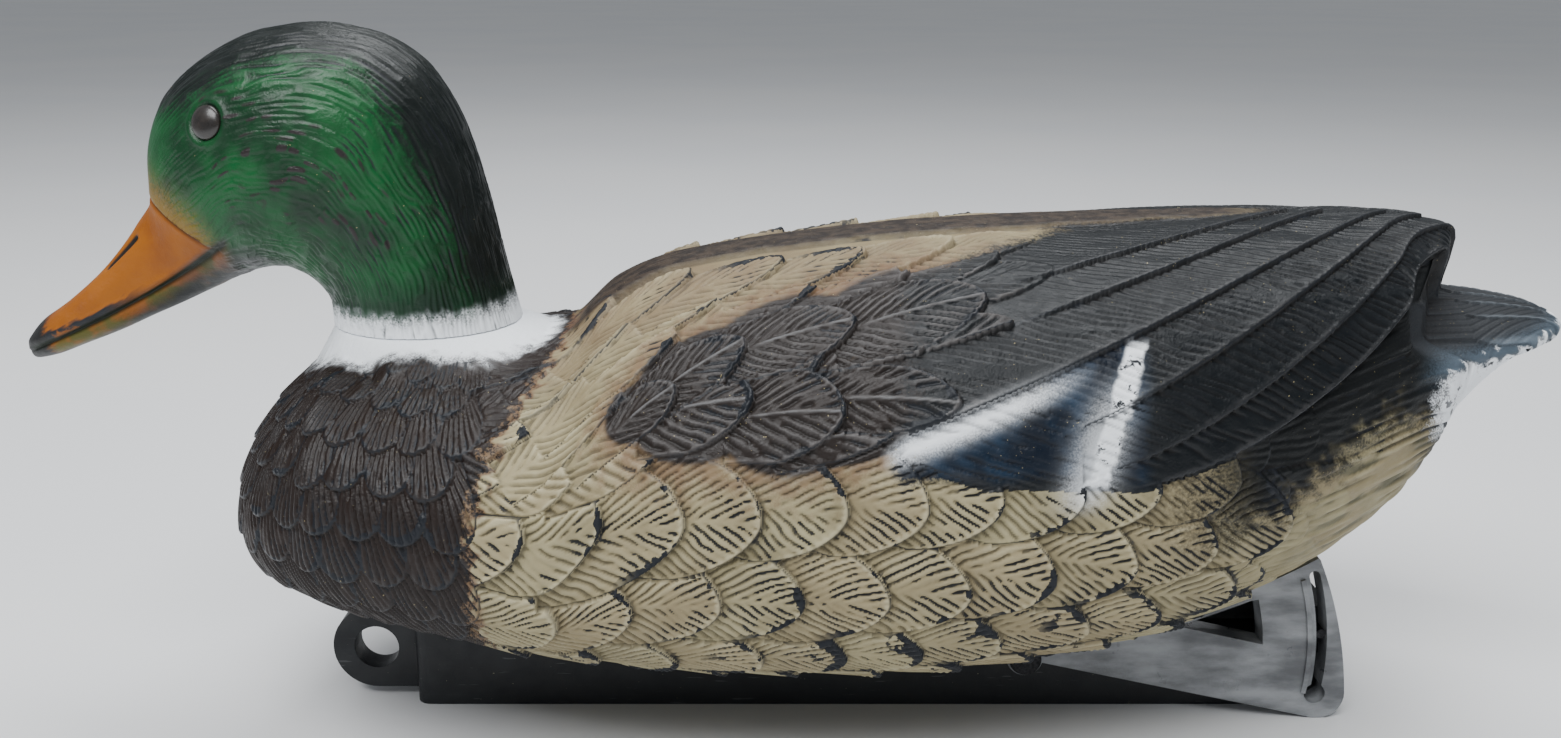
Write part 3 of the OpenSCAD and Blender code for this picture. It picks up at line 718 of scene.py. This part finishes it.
cheek_gap = hz - cheek_edge(hx)
mouth_gap = (hz - mouth_line(hx)) * 0.87
bill = fall(-0.5, 0.5, cheek_gap) * fall(-146.5, -143.5, hx)
bill = np.maximum(bill, fall(-171, -168, hx))
on_bill = fall(-150, -144, hx)
mouth = bump(mouth_gap, 0, 0.8 + 0.5 * ease(-168, -148, hx)) * fall(-145, -141, hx) * ease(-204, -200, hx)
below_mouth = fall(-0.6, 0.2, mouth_gap) * fall(-150, -141, hx)
cheek_groove = bump(cheek_gap, -0.4, 0.7) * on_bill * fall(-152, -146, hx) * ease(-171, -164, hx)
nostril_from, nostril_to = np.array([-171, -7.4, 133]), np.array([-179, -6.8, 125.5])
nostril_run = nostril_to - nostril_from
along_slit = ((head_points - nostril_from) @ nostril_run) / (nostril_run @ nostril_run)
nearest = nostril_from + np.clip(along_slit, 0, 1)[..., None] * nostril_run
nostril = np.exp(-(np.linalg.norm(head_points - nearest, axis=-1) / 1.15) ** 2)

eye_low, eye_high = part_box("left_eye")
eye_at = np.array((eye_low + eye_high) / 2) / MM
EYE_OUT = unit(np.array([-0.36, -0.9, 0.24]))
from_eye = head_points - eye_at
eye_across = np.linalg.norm(from_eye - (from_eye @ EYE_OUT)[..., None] * EYE_OUT, axis=-1)
eye_across = np.where(hy < -5, eye_across, 99)


def strokes(across, along, length, seed, presence):
    """Short grooves with tapered ends, staggered from lane to lane; lanes are one unit apart."""
    lane = np.floor(across)
    table = np.random.default_rng(seed).random((4, 512))
    lane_index = lane.astype(int) % 512
    u = along / (length * (0.7 + 0.7 * table[0, lane_index])) + 9 * table[1, lane_index]
    cell = np.floor(u)
    chance = np.random.default_rng(seed + 1).random((512, 64))[lane_index, cell.astype(int) % 64]
    profile = np.sin(np.pi * (across - lane)) ** 1.6 * np.sin(np.pi * (u - cell)) ** 0.5
    return profile * ease(1 - presence - 0.12, 1 - presence + 0.12, chance)


# Striations run back from the bill over the head and down the neck
warp = noise(share * 6, far * 0.045, 51) * 3.2 + noise(share * 20, far * 0.12, 52) * 1.1
fine = strokes(share * 64 + warp, far, 11, 53, 0.72)
broad = strokes(share * 38 + 1.3 * warp, far, 7, 55, 0.45)
striation = np.maximum(fine, 0.9 * broad)
coarse = ease(0.35, 0.75, share + 0.35 * ease(152, 120, hz))
strength = (0.21 + 0.27 * coarse) * (1 - bill) * ease(-166, -150, hx)
strength *= ease(5.6, 8, eye_across) * (1 - 0.45 * bump(hx, -140, 16) * bump(hz, 165, 14))
flecks = strokes(share * 40 + warp + 7, far, 5, 57, 0.42)
fleck_zone = 1.3 * bump(hx, -123, 21) * bump(hz, 152, 11) + 0.6 * bump(hx, -140, 24) * bump(hz, 168, 7)
fleck_zone += bump(hx, -106, 10) * bump(hz, 137, 8)
flecks = flecks * np.clip(fleck_zone, 0, 1)

head_lift = -strength * striation + 0.22 * flecks
head_lift += 0.45 * (1 - bill) * ease(-169, -160, hx)
head_lift -= mouth + 0.5 * below_mouth * on_bill + 0.9 * nostril + 0.5 * cheek_groove
head_lift += 0.35 * bump(mouth_gap, 1.8, 1.0) * on_bill * fall(-156, -148, hx)
head_lift += 0.5 * bump(hx, -201, 3.2) * bump(hy, 0, 5) * (mouth_gap > 0)
head_lift += 0.3 * bump(eye_across, 5.6, 0.8) - 0.4 * fall(4.3, 4.9, eye_across)
head_lift += 0.12 * (noise(share * 9, far * 0.07, 58) - 0.5) * (1 - bill)
head_lift *= ease(0, 3, 205.3 + hx)

head_depth = blurred(blurred(head_lift, 2), 2) - head_lift
head_normals = side_normals(head_points)
head_formed = head_points + head_normals * head_lift[..., None]
head_formed[..., 2] = np.maximum(head_formed[..., 2], NECK_Z + 0.15 - 30 * (hx < -123))
head_formed[:, (0, -1), 1] = 0

# How far down each side the black of the crown and nape reaches, as a turn about the head's own line
turn_limit = 44 - 8 * ease(0, 3, station) + 14 * ease(3, 5, station) - 6 * ease(5, 7, station)
turn_limit += 44 * ease(8, 10, station)
side_turn = (share * 2 - 1) * 90
head_speckle = noise(share * 60, far * 0.35, 61) - 0.5
head_masks = {
    "bill": bill,
    "crown": ease(-11, 11, side_turn - turn_limit + 9 * (striation - 0.4) + 6 * head_speckle),
    "white_neck": fall(111.6, 117.6, hz + 2.2 * head_speckle - ease(-84, -74, hx) + 90 * (hx < -124)),
    "mouth": np.clip(mouth * 1.3, 0, 1),
    "cheek_groove": cheek_groove,
    "below_mouth": below_mouth,
    "lip": fall(2.0, 3.0, mouth_gap + 1.3 * head_speckle) * (mouth_gap > 0) * fall(-180, -166, hx),
    "nail": fall(-198, -194.5, hx + 1.5 * head_speckle + 0.18 * (hz - 108)),
    "nostril": nostril,
    "hollow": ease(0.03, 0.22, head_depth) * (1 - bill),
    "crest": ease(0.03, 0.2, -head_depth) * (1 - bill),
    "fleck": flecks,
    "fade": bump(cheek_gap, 0, 7) * fall(-152, -142, hx) * (1 - bill),
    "under": fall(0.13, 0.3, share) * fall(-140, -124, hx),
    "neck_dark": bump(hz, 118, 4.5) * (hx > -124) + 0.8 * bump(hx, -108, 9) * bump(hz, 137, 6),
}
head_skin = grid_piece("head_skin", head_formed, head_masks, flip=True)
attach(head_skin, "head")
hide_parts("head_shell")


# ----- eyes

def lathe(name, profile, sides, origin, axis):
    """Closed turned mesh from (radius, height) points, which start and end on the axis."""
    rings = profile[1:-1]
    turns = [2 * math.pi * k / sides for k in range(sides)]
    points = [(0, 0, profile[0][1])]
    for r, h in rings:
        points += [(r * math.cos(a), r * math.sin(a), h) for a in turns]
    points.append((0, 0, profile[-1][1]))
    faces = [(0, 1 + (k + 1) % sides, 1 + k) for k in range(sides)]
    for i in range(len(rings) - 1):
        low, high = 1 + i * sides, 1 + (i + 1) * sides
        faces += [(low + k, low + (k + 1) % sides, high + (k + 1) % sides, high + k) for k in range(sides)]
    top = 1 + (len(rings) - 1) * sides
    faces += [(top + k, top + (k + 1) % sides, len(points) - 1) for k in range(sides)]
    turn = Vector((0, 0, 1)).rotation_difference(Vector(axis)).to_matrix()
    placed = [(turn @ Vector(p) + Vector(origin)) * MM for p in points]
    mesh = bpy.data.meshes.new(name)
    mesh.from_pydata(placed, [], faces)
    mesh.shade_smooth()
    return add_object(name, mesh)


EYE_RADIUS, EYE_DOME = 4.4, 2.2


def eye_profile():
    back = [(0, -1.2), (EYE_RADIUS - 0.4, -1.2), (EYE_RADIUS, -0.9), (EYE_RADIUS, 0)]
    turns = [math.pi / 2 * k / 22 for k in range(1, 22)]
    dome = [(EYE_RADIUS * math.cos(a), EYE_DOME * math.sin(a) ** 0.9) for a in turns]
    return back + dome + [(0, EYE_DOME)]


def eye_seat(node):
    """Middle of an eye's base, 1 mm out from the middle of the CAD eye's box, and the way it faces."""
    low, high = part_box(node)
    middle = (low + high) / 2 / MM
    out = Vector(EYE_OUT)
    if middle.y > 0:
        out.y = -out.y
    return middle + out, out


EYES = []
for node in ("left_eye", "right_eye"):
    seat_at, out = eye_seat(node)
    eye = lathe(node.replace("eye", "glass_eye"), eye_profile(), 72, seat_at, out)
    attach(eye, "head")
    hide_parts(node)
    EYES.append(eye)


# ----- materials

class Shader:
    """A node material in the making. Values are numbers, colours, node outputs or names of masks."""

    def __init__(self, name):
        self.material = bpy.data.materials.new(name)
        self.material.use_nodes = True
        self.tree = self.material.node_tree
        self.bsdf = self.tree.nodes["Principled BSDF"]
        self.place = self.tree.nodes.new("ShaderNodeTexCoord").outputs["Object"]

    def feed(self, socket, value):
        if isinstance(value, str):
            value = self.node("Attribute", "Fac", {}, attribute_name=value)
        if isinstance(value, bpy.types.NodeSocket):
            self.tree.links.new(value, socket)
        elif socket.type == "RGBA":
            socket.default_value = (*value, 1)
        else:
            socket.default_value = value

    def node(self, kind, output, inputs, **settings):
        """One output of a new node, whose inputs are given by name or number."""
        node = self.tree.nodes.new("ShaderNode" + kind)
        for key, value in settings.items():
            setattr(node, key, value)
        for key, value in inputs.items():
            self.feed(node.inputs[key], value)
        return node.outputs[output]

    def noise(self, scale, detail=3.0, roughness=0.55, stretch=None):
        place = self.place
        if stretch is not None:
            place = self.node("Mapping", "Vector", {"Vector": place, "Scale": stretch})
        inputs = {"Vector": place, "Scale": scale, "Detail": detail, "Roughness": roughness}
        return self.node("TexNoise", "Fac", inputs)

    def ramp(self, value, low, high, to_low=0.0, to_high=1.0):
        inputs = {"Value": value, "From Min": low, "From Max": high, "To Min": to_low, "To Max": to_high}
        return self.node("MapRange", "Result", inputs, interpolation_type="SMOOTHSTEP")

    def cloud(self, scale, detail, *levels):
        """Noise taken through a ramp, for patches and spots."""
        return self.ramp(self.noise(scale, detail), *levels)

    def math(self, operation, a, b=0.0, clamp=False):
        return self.node("Math", 0, {0: a, 1: b}, operation=operation, use_clamp=clamp)

    def add(self, a, b, clamp=False):
        return self.math("ADD", a, b, clamp)

    def most(self, a, b):
        return self.math("MAXIMUM", a, b)

    def times(self, *values):
        result = values[0]
        for value in values[1:]:
            result = self.math("MULTIPLY", result, value, clamp=True)
        return result

    def mix(self, factor, a, b):
        """Colour between a and b. A mix node's colours are its inputs 6 and 7 and its output 2."""
        return self.node("Mix", 2, {0: factor, 6: a, 7: b}, data_type="RGBA")

    def sprayed(self, name, softness=0.35, scale=1400):
        """A mask whose soft edge breaks up into the fine spots of sprayed paint."""
        spots = self.cloud(scale, 2, 0.3, 0.7, -softness / 2, softness / 2)
        off_middle = self.math("ABSOLUTE", self.math("SUBTRACT", name, 0.5))
        near_middle = self.ramp(self.math("SUBTRACT", 1.0, off_middle, clamp=True), 0.5, 0.9)
        return self.add(name, self.math("MULTIPLY", spots, near_middle), clamp=True)

    def bumped(self, height, strength, distance):
        """Fine grain, whose full height is a distance in metres."""
        inputs = {"Height": height, "Strength": strength, "Distance": distance}
        self.feed(self.bsdf.inputs["Normal"], self.node("Bump", "Normal", inputs))

    def coat(self, colour, *share):
        """Another colour over those so far, as far as the product of the shares."""
        self.colour = self.mix(self.times(*share), self.colour, colour)

    def finish(self, roughness, **inputs):
        self.feed(self.bsdf.inputs["Base Color"], self.colour)
        self.feed(self.bsdf.inputs["Roughness"], roughness)
        for name, value in inputs.items():
            self.feed(self.bsdf.inputs[name.replace("_", " ")], value)
        return self.material


# Paints and plastics, as linear colours
BLACK_PLASTIC, SHADE_AND_DIRT, DUST = (0.010, 0.012, 0.016), (0.010, 0.008, 0.007), (0.36, 0.30, 0.16)
CREAM, CREAM_SHADE, CREAM_HIGHLIGHT = (0.355, 0.312, 0.178), (0.225, 0.193, 0.107), (0.54, 0.49, 0.33)
TAN, RED_BROWN, BACK_SHADE = (0.27, 0.205, 0.115), (0.12, 0.045, 0.022), (0.16, 0.105, 0.06)
COVERT_BROWN, COVERT_CREST_SHEEN_AND_WEAR = (0.017, 0.012, 0.010), (0.086, 0.078, 0.075)
BLUE_BLACK, SPRAY_BLUE, PALE_BLUE = (0.002, 0.006, 0.014), (0.014, 0.040, 0.080), (0.22, 0.31, 0.40)
WING_GREY = (0.0035, 0.005, 0.0065)
CHESTNUT, RIDGE_BROWN, STREAK_GREEN = (0.014, 0.008, 0.006), (0.048, 0.034, 0.024), (0.055, 0.058, 0.034)
PAINT_WHITE, TAIL_GREY, TAIL_LINE = (0.88, 0.91, 0.94), (0.021, 0.023, 0.026), (0.14, 0.16, 0.18)
RUMP_BLACK, DARK_CREST_SHEEN_AND_WEAR, SHAFT_GREY = (0.002, 0.003, 0.0035), (0.033, 0.033, 0.034), (0.12, 0.12, 0.122)
# Scale of the spots in the finest spray
FINE_SPRAY = 2200


def body_paint():
    """Sprayed layers in the order that they were laid, and then painted shade and highlight, dirt, wear
    and dust.
    """
    s = Shader("body_paint")
    s.colour = s.mix(s.cloud(55, 4, 0.3, 0.7), CREAM, CREAM_SHADE)
    s.coat(TAN, s.ramp("tone", 0, 1, 0, 0.45))
    # Painted shade: each feather darker towards its base, under the tip of the feather that overlaps it
    s.coat(CREAM_SHADE, s.ramp("tip", 0.75, 0.2, 0, 0.3))
    # Painted highlight: the crests of the relief lighter
    s.coat(CREAM_HIGHLIGHT, "crest", 0.45)
    # Painted shade: darker towards the back line, against the light from above
    s.coat(BACK_SHADE, "back", s.cloud(70, 4, 0.3, 0.65, 0.25, 0.7))
    # Reddish brown laid thinly round the coverts, under the dark colours
    s.coat(RED_BROWN, s.sprayed("covert_fade", 0.3, FINE_SPRAY), 0.62)
    s.coat(COVERT_BROWN, s.ramp("coverts", 0.3, 0.7))
    s.coat(WING_GREY, s.ramp(s.sprayed("primaries"), 0.1, 0.8))
    s.coat(STREAK_GREEN, "streak", s.cloud(130, 3, 0.35, 0.6), 0.7)
    s.coat(RUMP_BLACK, s.sprayed("rump", 0.5))
    s.coat(TAIL_GREY, "tail")
    s.coat(TAIL_LINE, "tail_edge", 0.5)
    s.coat(BLUE_BLACK, s.ramp(s.sprayed("speculum", 0.3), 0.1, 0.8))
    s.coat(SPRAY_BLUE, s.cloud(90, 2, 0.42, 0.7), "speculum", 0.6)
    s.coat(s.mix(s.cloud(260, 3, 0.35, 0.65), RIDGE_BROWN, COVERT_BROWN), "ridge")
    # The same reddish brown along the breast's edge, where its mask is half-way
    s.coat(RED_BROWN, s.ramp(s.math("ABSOLUTE", s.math("SUBTRACT", "breast", 0.5)), 0.48, 0.1), 0.7)
    s.coat(CHESTNUT, s.ramp(s.sprayed("breast", 0.5), 0.25, 0.75))
    # Crests of the dark plumage, lighter as painted highlight and as rubbed paint
    dark = s.most("breast", s.most("coverts", "primaries"))
    s.coat(DARK_CREST_SHEEN_AND_WEAR, "crest", dark, s.cloud(120, 3, 0.35, 0.65, 0.25, 0.9))
    s.coat(COVERT_CREST_SHEEN_AND_WEAR, "crest", "coverts", 0.75)
    s.coat(SHAFT_GREY, s.ramp("shaft", 0.1, 0.5), s.cloud(150, 3, 0.3, 0.6))
    # White, and the mist round it
    s.coat(PALE_BLUE, s.sprayed("tail_glow", 0.4, FINE_SPRAY), 0.28)
    s.coat(PAINT_WHITE, s.sprayed("white_glow", 0.3, FINE_SPRAY), 0.6)
    s.coat(PAINT_WHITE, s.sprayed("white_stripe", 0.3, FINE_SPRAY))
    s.coat(PAINT_WHITE, s.sprayed("white_bar", 0.2, FINE_SPRAY))
    s.coat(PAINT_WHITE, s.ramp(s.sprayed("tail_white", 0.4, FINE_SPRAY), 0.2, 0.85))
    white = s.sprayed("white_neck", 0.5, 2000)
    s.coat(PAINT_WHITE, white)
    # Hollows: painted shade and dirt everywhere, and black plastic where the spray missed them
    s.coat(SHADE_AND_DIRT, "hollow", s.ramp(white, 0, 1, 0.5, 0.16))
    low_side = s.ramp("belly", 0, 1, -0.02, 0.095)
    near_tip = s.ramp("tip", 0.35, 0.95, -0.13, 0.11)
    missed = s.ramp(s.add(s.noise(85, 4), s.add(near_tip, low_side)), 0.44, 0.56)
    s.coat(BLACK_PLASTIC, s.ramp("hollow", 0.15, 0.6), missed, 0.92)
    # A painted shadow line along each feather's edge, and chips on the edges that stand out most
    broken_shadow_line = s.cloud(60, 3, 0.32, 0.55, 0.35, 0.95)
    s.coat(BLACK_PLASTIC, s.ramp("edge", 0.15, 0.03), broken_shadow_line, s.ramp(white, 0, 1, 1, 0))
    at_edge = s.ramp("edge", 0.75, 0.05, -0.10, 0.10)
    chips = s.ramp(s.add(s.noise(75, 5, 0.6), s.add(low_side, at_edge)), 0.592, 0.61)
    s.coat(BLACK_PLASTIC, chips, s.ramp("tip", 0.5, 0.75), s.ramp(white, 0, 0.5, 1, 0))
    s.coat(BLACK_PLASTIC, s.ramp(s.noise(240, 6, 0.7), 0.575, 0.60), s.most("tail_white", "white_bar"))
    s.coat(DUST, s.cloud(1500, 1, 0.755, 0.785), s.cloud(40, 2, 0.42, 0.6), 0.85)
    s.bumped(s.add(s.noise(1700, 3), s.math("MULTIPLY", s.noise(420, 3), 1.5)), 0.35, 0.0004)
    rough = s.add(s.ramp(dark, 0, 1, 0.55, 0.40), s.cloud(320, 3, 0.3, 0.7, -0.07, 0.09))
    return s.finish(rough, Specular_IOR_Level=0.25)


HEAD_GREEN, GREEN_HIGHLIGHT, DEEP_GREEN = (0.000, 0.078, 0.017), (0.001, 0.105, 0.024), (0.000, 0.018, 0.005)
NECK_GREEN, CROWN_BLACK, FLECK_BLACK = (0.003, 0.016, 0.008), (0.003, 0.006, 0.005), (0.016, 0.012, 0.012)
BILL_ORANGE, BILL_SHADE, BILL_GREEN = (0.30, 0.088, 0.000), (0.20, 0.050, 0.000), (0.10, 0.09, 0.004)
OCHRE, CHIN_GREY, NAIL_BLACK = (0.25, 0.13, 0.006), (0.016, 0.018, 0.018), (0.008, 0.008, 0.008)
MOUTH_GREEN, NOSTRIL_BROWN = (0.004, 0.010, 0.003), (0.008, 0.006, 0.004)
GROOVE_BROWN, RING_GREY = (0.035, 0.014, 0.003), (0.10, 0.11, 0.11)


def head_paint():
    """Green and black sprays over black plastic, with the bill brushed in."""
    s = Shader("head_paint")
    s.colour = s.mix(s.cloud(60, 3, 0.35, 0.7), HEAD_GREEN, DEEP_GREEN)
    # Painted highlight: the crests of the striations lighter
    s.coat(GREEN_HIGHLIGHT, "crest", 0.3)
    s.coat(OCHRE, s.sprayed("fade", 0.4), 0.8)
    s.coat(CROWN_BLACK, s.sprayed("crown", 0.5))
    s.coat(NECK_GREEN, "neck_dark", 0.75)
    # Bill
    s.coat(s.mix(s.cloud(75, 4, 0.35, 0.75), BILL_ORANGE, BILL_SHADE), "bill")
    s.coat(s.mix(s.cloud(110, 3, 0.42, 0.62), BILL_GREEN, BILL_ORANGE), "below_mouth")
    s.coat(CHIN_GREY, "under", s.cloud(120, 3, 0.3, 0.55, 0.75, 1))
    s.coat(BLACK_PLASTIC, "lip", s.cloud(170, 4, 0.34, 0.42))
    s.coat(NAIL_BLACK, s.sprayed("nail", 0.4))
    s.coat(MOUTH_GREEN, "mouth")
    s.coat(NOSTRIL_BROWN, s.ramp("nostril", 0.25, 0.75))
    s.coat(GROOVE_BROWN, "cheek_groove", 0.75)
    # Grooves and flecks that the paint has left or never reached
    s.coat(BLACK_PLASTIC, s.ramp("hollow", 0.2, 0.7), s.cloud(95, 4, 0.45, 0.62), 0.85)
    s.coat(FLECK_BLACK, s.ramp("fleck", 0.25, 0.55), s.cloud(120, 3, 0.35, 0.5))
    white = s.sprayed("white_neck", 0.6, 1800)
    s.coat(PAINT_WHITE, white)
    s.coat(RING_GREY, white, "hollow", s.cloud(140, 2, 0.4, 0.65))
    s.coat(DUST, s.cloud(1500, 1, 0.775, 0.80), s.cloud(45, 2, 0.5, 0.65), 0.8)
    s.bumped(s.add(s.noise(1600, 3), s.noise(500, 3)), 0.3, 0.0004)
    rough = s.add(s.ramp("bill", 0, 1, 0.38, 0.5), s.cloud(260, 3, 0.3, 0.7, -0.06, 0.08))
    return s.finish(rough, Specular_IOR_Level=0.38)


def moulded_black(name, shade, scuffs_and_sheen, roughness):
    """Satin moulding with flow marks, lighter in patches where handling wore it and where painted sheen
    stands in for its gloss, and dust.
    """
    s = Shader(name)
    s.colour = s.mix(s.ramp(s.noise(38, 5, stretch=(1, 3, 3)), 0.32, 0.68), shade, scuffs_and_sheen)
    scratches = s.ramp(s.noise(900, 2, stretch=(0.12, 1, 1)), 0.66, 0.74)
    s.coat((0.12, 0.12, 0.125), scratches, 0.35)
    s.coat((0.30, 0.27, 0.17), s.cloud(1400, 1, 0.80, 0.82), 0.7)
    s.bumped(s.add(s.noise(1300, 3), s.noise(260, 3)), 0.25, 0.0004)
    return s.finish(s.add(s.cloud(120, 4, 0.3, 0.7, -0.08, 0.1), roughness))


def eye_glass():
    s = Shader("eye_gloss")
    s.colour = s.mix(s.cloud(420, 3, 0.3, 0.75), (0.010, 0.008, 0.007), (0.024, 0.018, 0.015))
    s.bumped(s.noise(900, 2), 0.06, 0.0002)
    return s.finish(s.cloud(500, 2, 0.3, 0.7, 0.24, 0.36), Coat_Weight=0.35, Coat_Roughness=0.2)


def plain_plastic(name, light, dark, roughness):
    s = Shader(name)
    s.colour = s.mix(s.cloud(180, 4, 0.3, 0.7), light, dark)
    s.bumped(s.noise(1500, 3), 0.2, 0.0003)
    return s.finish(s.cloud(300, 3, 0.3, 0.7, roughness - 0.06, roughness + 0.08))


def metal(name, light, dark, roughness, stretch=(1, 1, 1), metallic=1.0):
    s = Shader(name)
    brushed = s.noise(1600, 3, stretch=stretch)
    s.colour = s.mix(s.ramp(brushed, 0.3, 0.7), light, dark)
    s.coat(dark, s.cloud(90, 4, 0.55, 0.75), 0.4)
    s.bumped(brushed, 0.15, 0.0002)
    return s.finish(s.cloud(400, 3, 0.3, 0.7, roughness - 0.08, roughness + 0.1), Metallic=metallic)


def give(piece, material):
    if not piece.material_slots:
        piece.data.materials.append(material)
    for place in piece.material_slots:
        place.material = material


give(body_skin, body_paint())
give(head_skin, head_paint())
for eye in EYES:
    give(eye, eye_glass())

blackened = metal("blackened_steel", (0.030, 0.030, 0.032), (0.012, 0.012, 0.013), 0.45, metallic=0.9)
stainless = metal("stainless", (0.62, 0.62, 0.61), (0.42, 0.42, 0.42), 0.32, stretch=(1, 0.1, 1))
brass = metal("turned_brass", (0.66, 0.47, 0.18), (0.45, 0.31, 0.11), 0.3, stretch=(1, 1, 0.15))
slugs = metal("cast_slugs", (0.14, 0.14, 0.145), (0.07, 0.065, 0.06), 0.65, metallic=0.8)
keel_black = moulded_black("keel_black", (0.002, 0.003, 0.005), (0.006, 0.008, 0.010), 0.5)
# The fin's light mottling is painted reflection of its gloss as well as wear
fin_black = moulded_black("fin_black", (0.085, 0.089, 0.096), (0.31, 0.322, 0.336), 0.34)
rubber = plain_plastic("black_rubber", (0.016, 0.016, 0.016), (0.03, 0.03, 0.031), 0.7)
acetal = plain_plastic("natural_acetal", (0.72, 0.70, 0.62), (0.62, 0.60, 0.52), 0.4)
CAD_MATERIALS = (
    (keel_black, ("keel_housing", "keel_cover", "blow_hole_plug", "neck_plug")),
    (fin_black, ("keel_fin",)),
    (blackened, ("fin_pivot_pin", "pivot_washers", "pivot_clip", "fin_guide_pin")),
    (stainless, ("keel_screws", "snap_ring")),
    (rubber, ("neck_seal", "friction_washer")),
    (acetal, ("neck_bushing",)),
    (brass, ("threaded_inserts",)),
    (slugs, ("ballast_slugs",)),
)
BEVELS_MM = {"keel_housing": 0.7, "keel_cover": 0.5, "keel_fin": 0.45}
for material, nodes in CAD_MATERIALS:
    for node in nodes:
        give(frame["nodes"][node], material)
for node, width in BEVELS_MM.items():
    cad = frame["nodes"][node]
    weld = cad.modifiers.new("weld", "WELD")
    weld.merge_threshold = 0.01 * MM
    bevel = cad.modifiers.new("bevel", "BEVEL")
    bevel.width = width * MM
    bevel.segments = 3
    bevel.limit_method = "ANGLE"
    bevel.angle_limit = math.radians(40)
    bevel.harden_normals = True


# ----- stage, light and camera

def floor(name, reach):
    """Flat square floor about the object, large enough to fill the camera's view."""
    corners = [(-reach, -reach, 0), (reach, -reach, 0), (reach, reach, 0), (-reach, reach, 0)]
    mesh = bpy.data.meshes.new(name)
    mesh.from_pydata(corners, [], [(0, 1, 2, 3)])
    piece = add_object(name, mesh)
    s = Shader(name)
    s.colour = s.mix(s.cloud(3, 2, 0.3, 0.7), (0.80, 0.80, 0.80), (0.77, 0.775, 0.785))
    piece.data.materials.append(s.finish(0.6))
    return piece


floor("floor", 12)


def area_light(name, place, aim, size, power, colour):
    data = bpy.data.lights.new(name, "AREA")
    data.shape = "RECTANGLE"
    data.size, data.size_y = size
    data.energy = power
    data.color = colour
    lamp = add_object(name, data)
    lamp.location = place
    lamp.rotation_euler = (Vector(aim) - Vector(place)).to_track_quat("-Z", "Y").to_euler()


area_light("window", (-0.35, -0.75, 1.25), (0, 0, 0.08), (1.1, 0.8), 27, (0.97, 0.985, 1.0))
area_light("top", (0.15, 0.35, 1.25), (0, 0, 0.05), (1.0, 0.7), 15, (0.96, 0.98, 1.0))
world = bpy.data.worlds.new("soft_room")
world.use_nodes = True
background = world.node_tree.nodes["Background"]
background.inputs["Color"].default_value = (0.86, 0.90, 0.95, 1)
background.inputs["Strength"].default_value = 0.36
bpy.context.scene.world = world

# The camera stands 0.4 m away on the -Y side and looks along +Y and down by so many degrees
CAMERA_DOWN = 15.4
camera_data = bpy.data.cameras.new("camera")
camera_data.lens = 35
camera_data.sensor_width = 36
camera_data.clip_start = 0.01
camera = add_object("camera", camera_data)
camera.location = (-0.003, -0.397, 0.205)
camera.rotation_euler = (math.radians(90 - CAMERA_DOWN), 0, 0)
bpy.context.scene.camera = camera
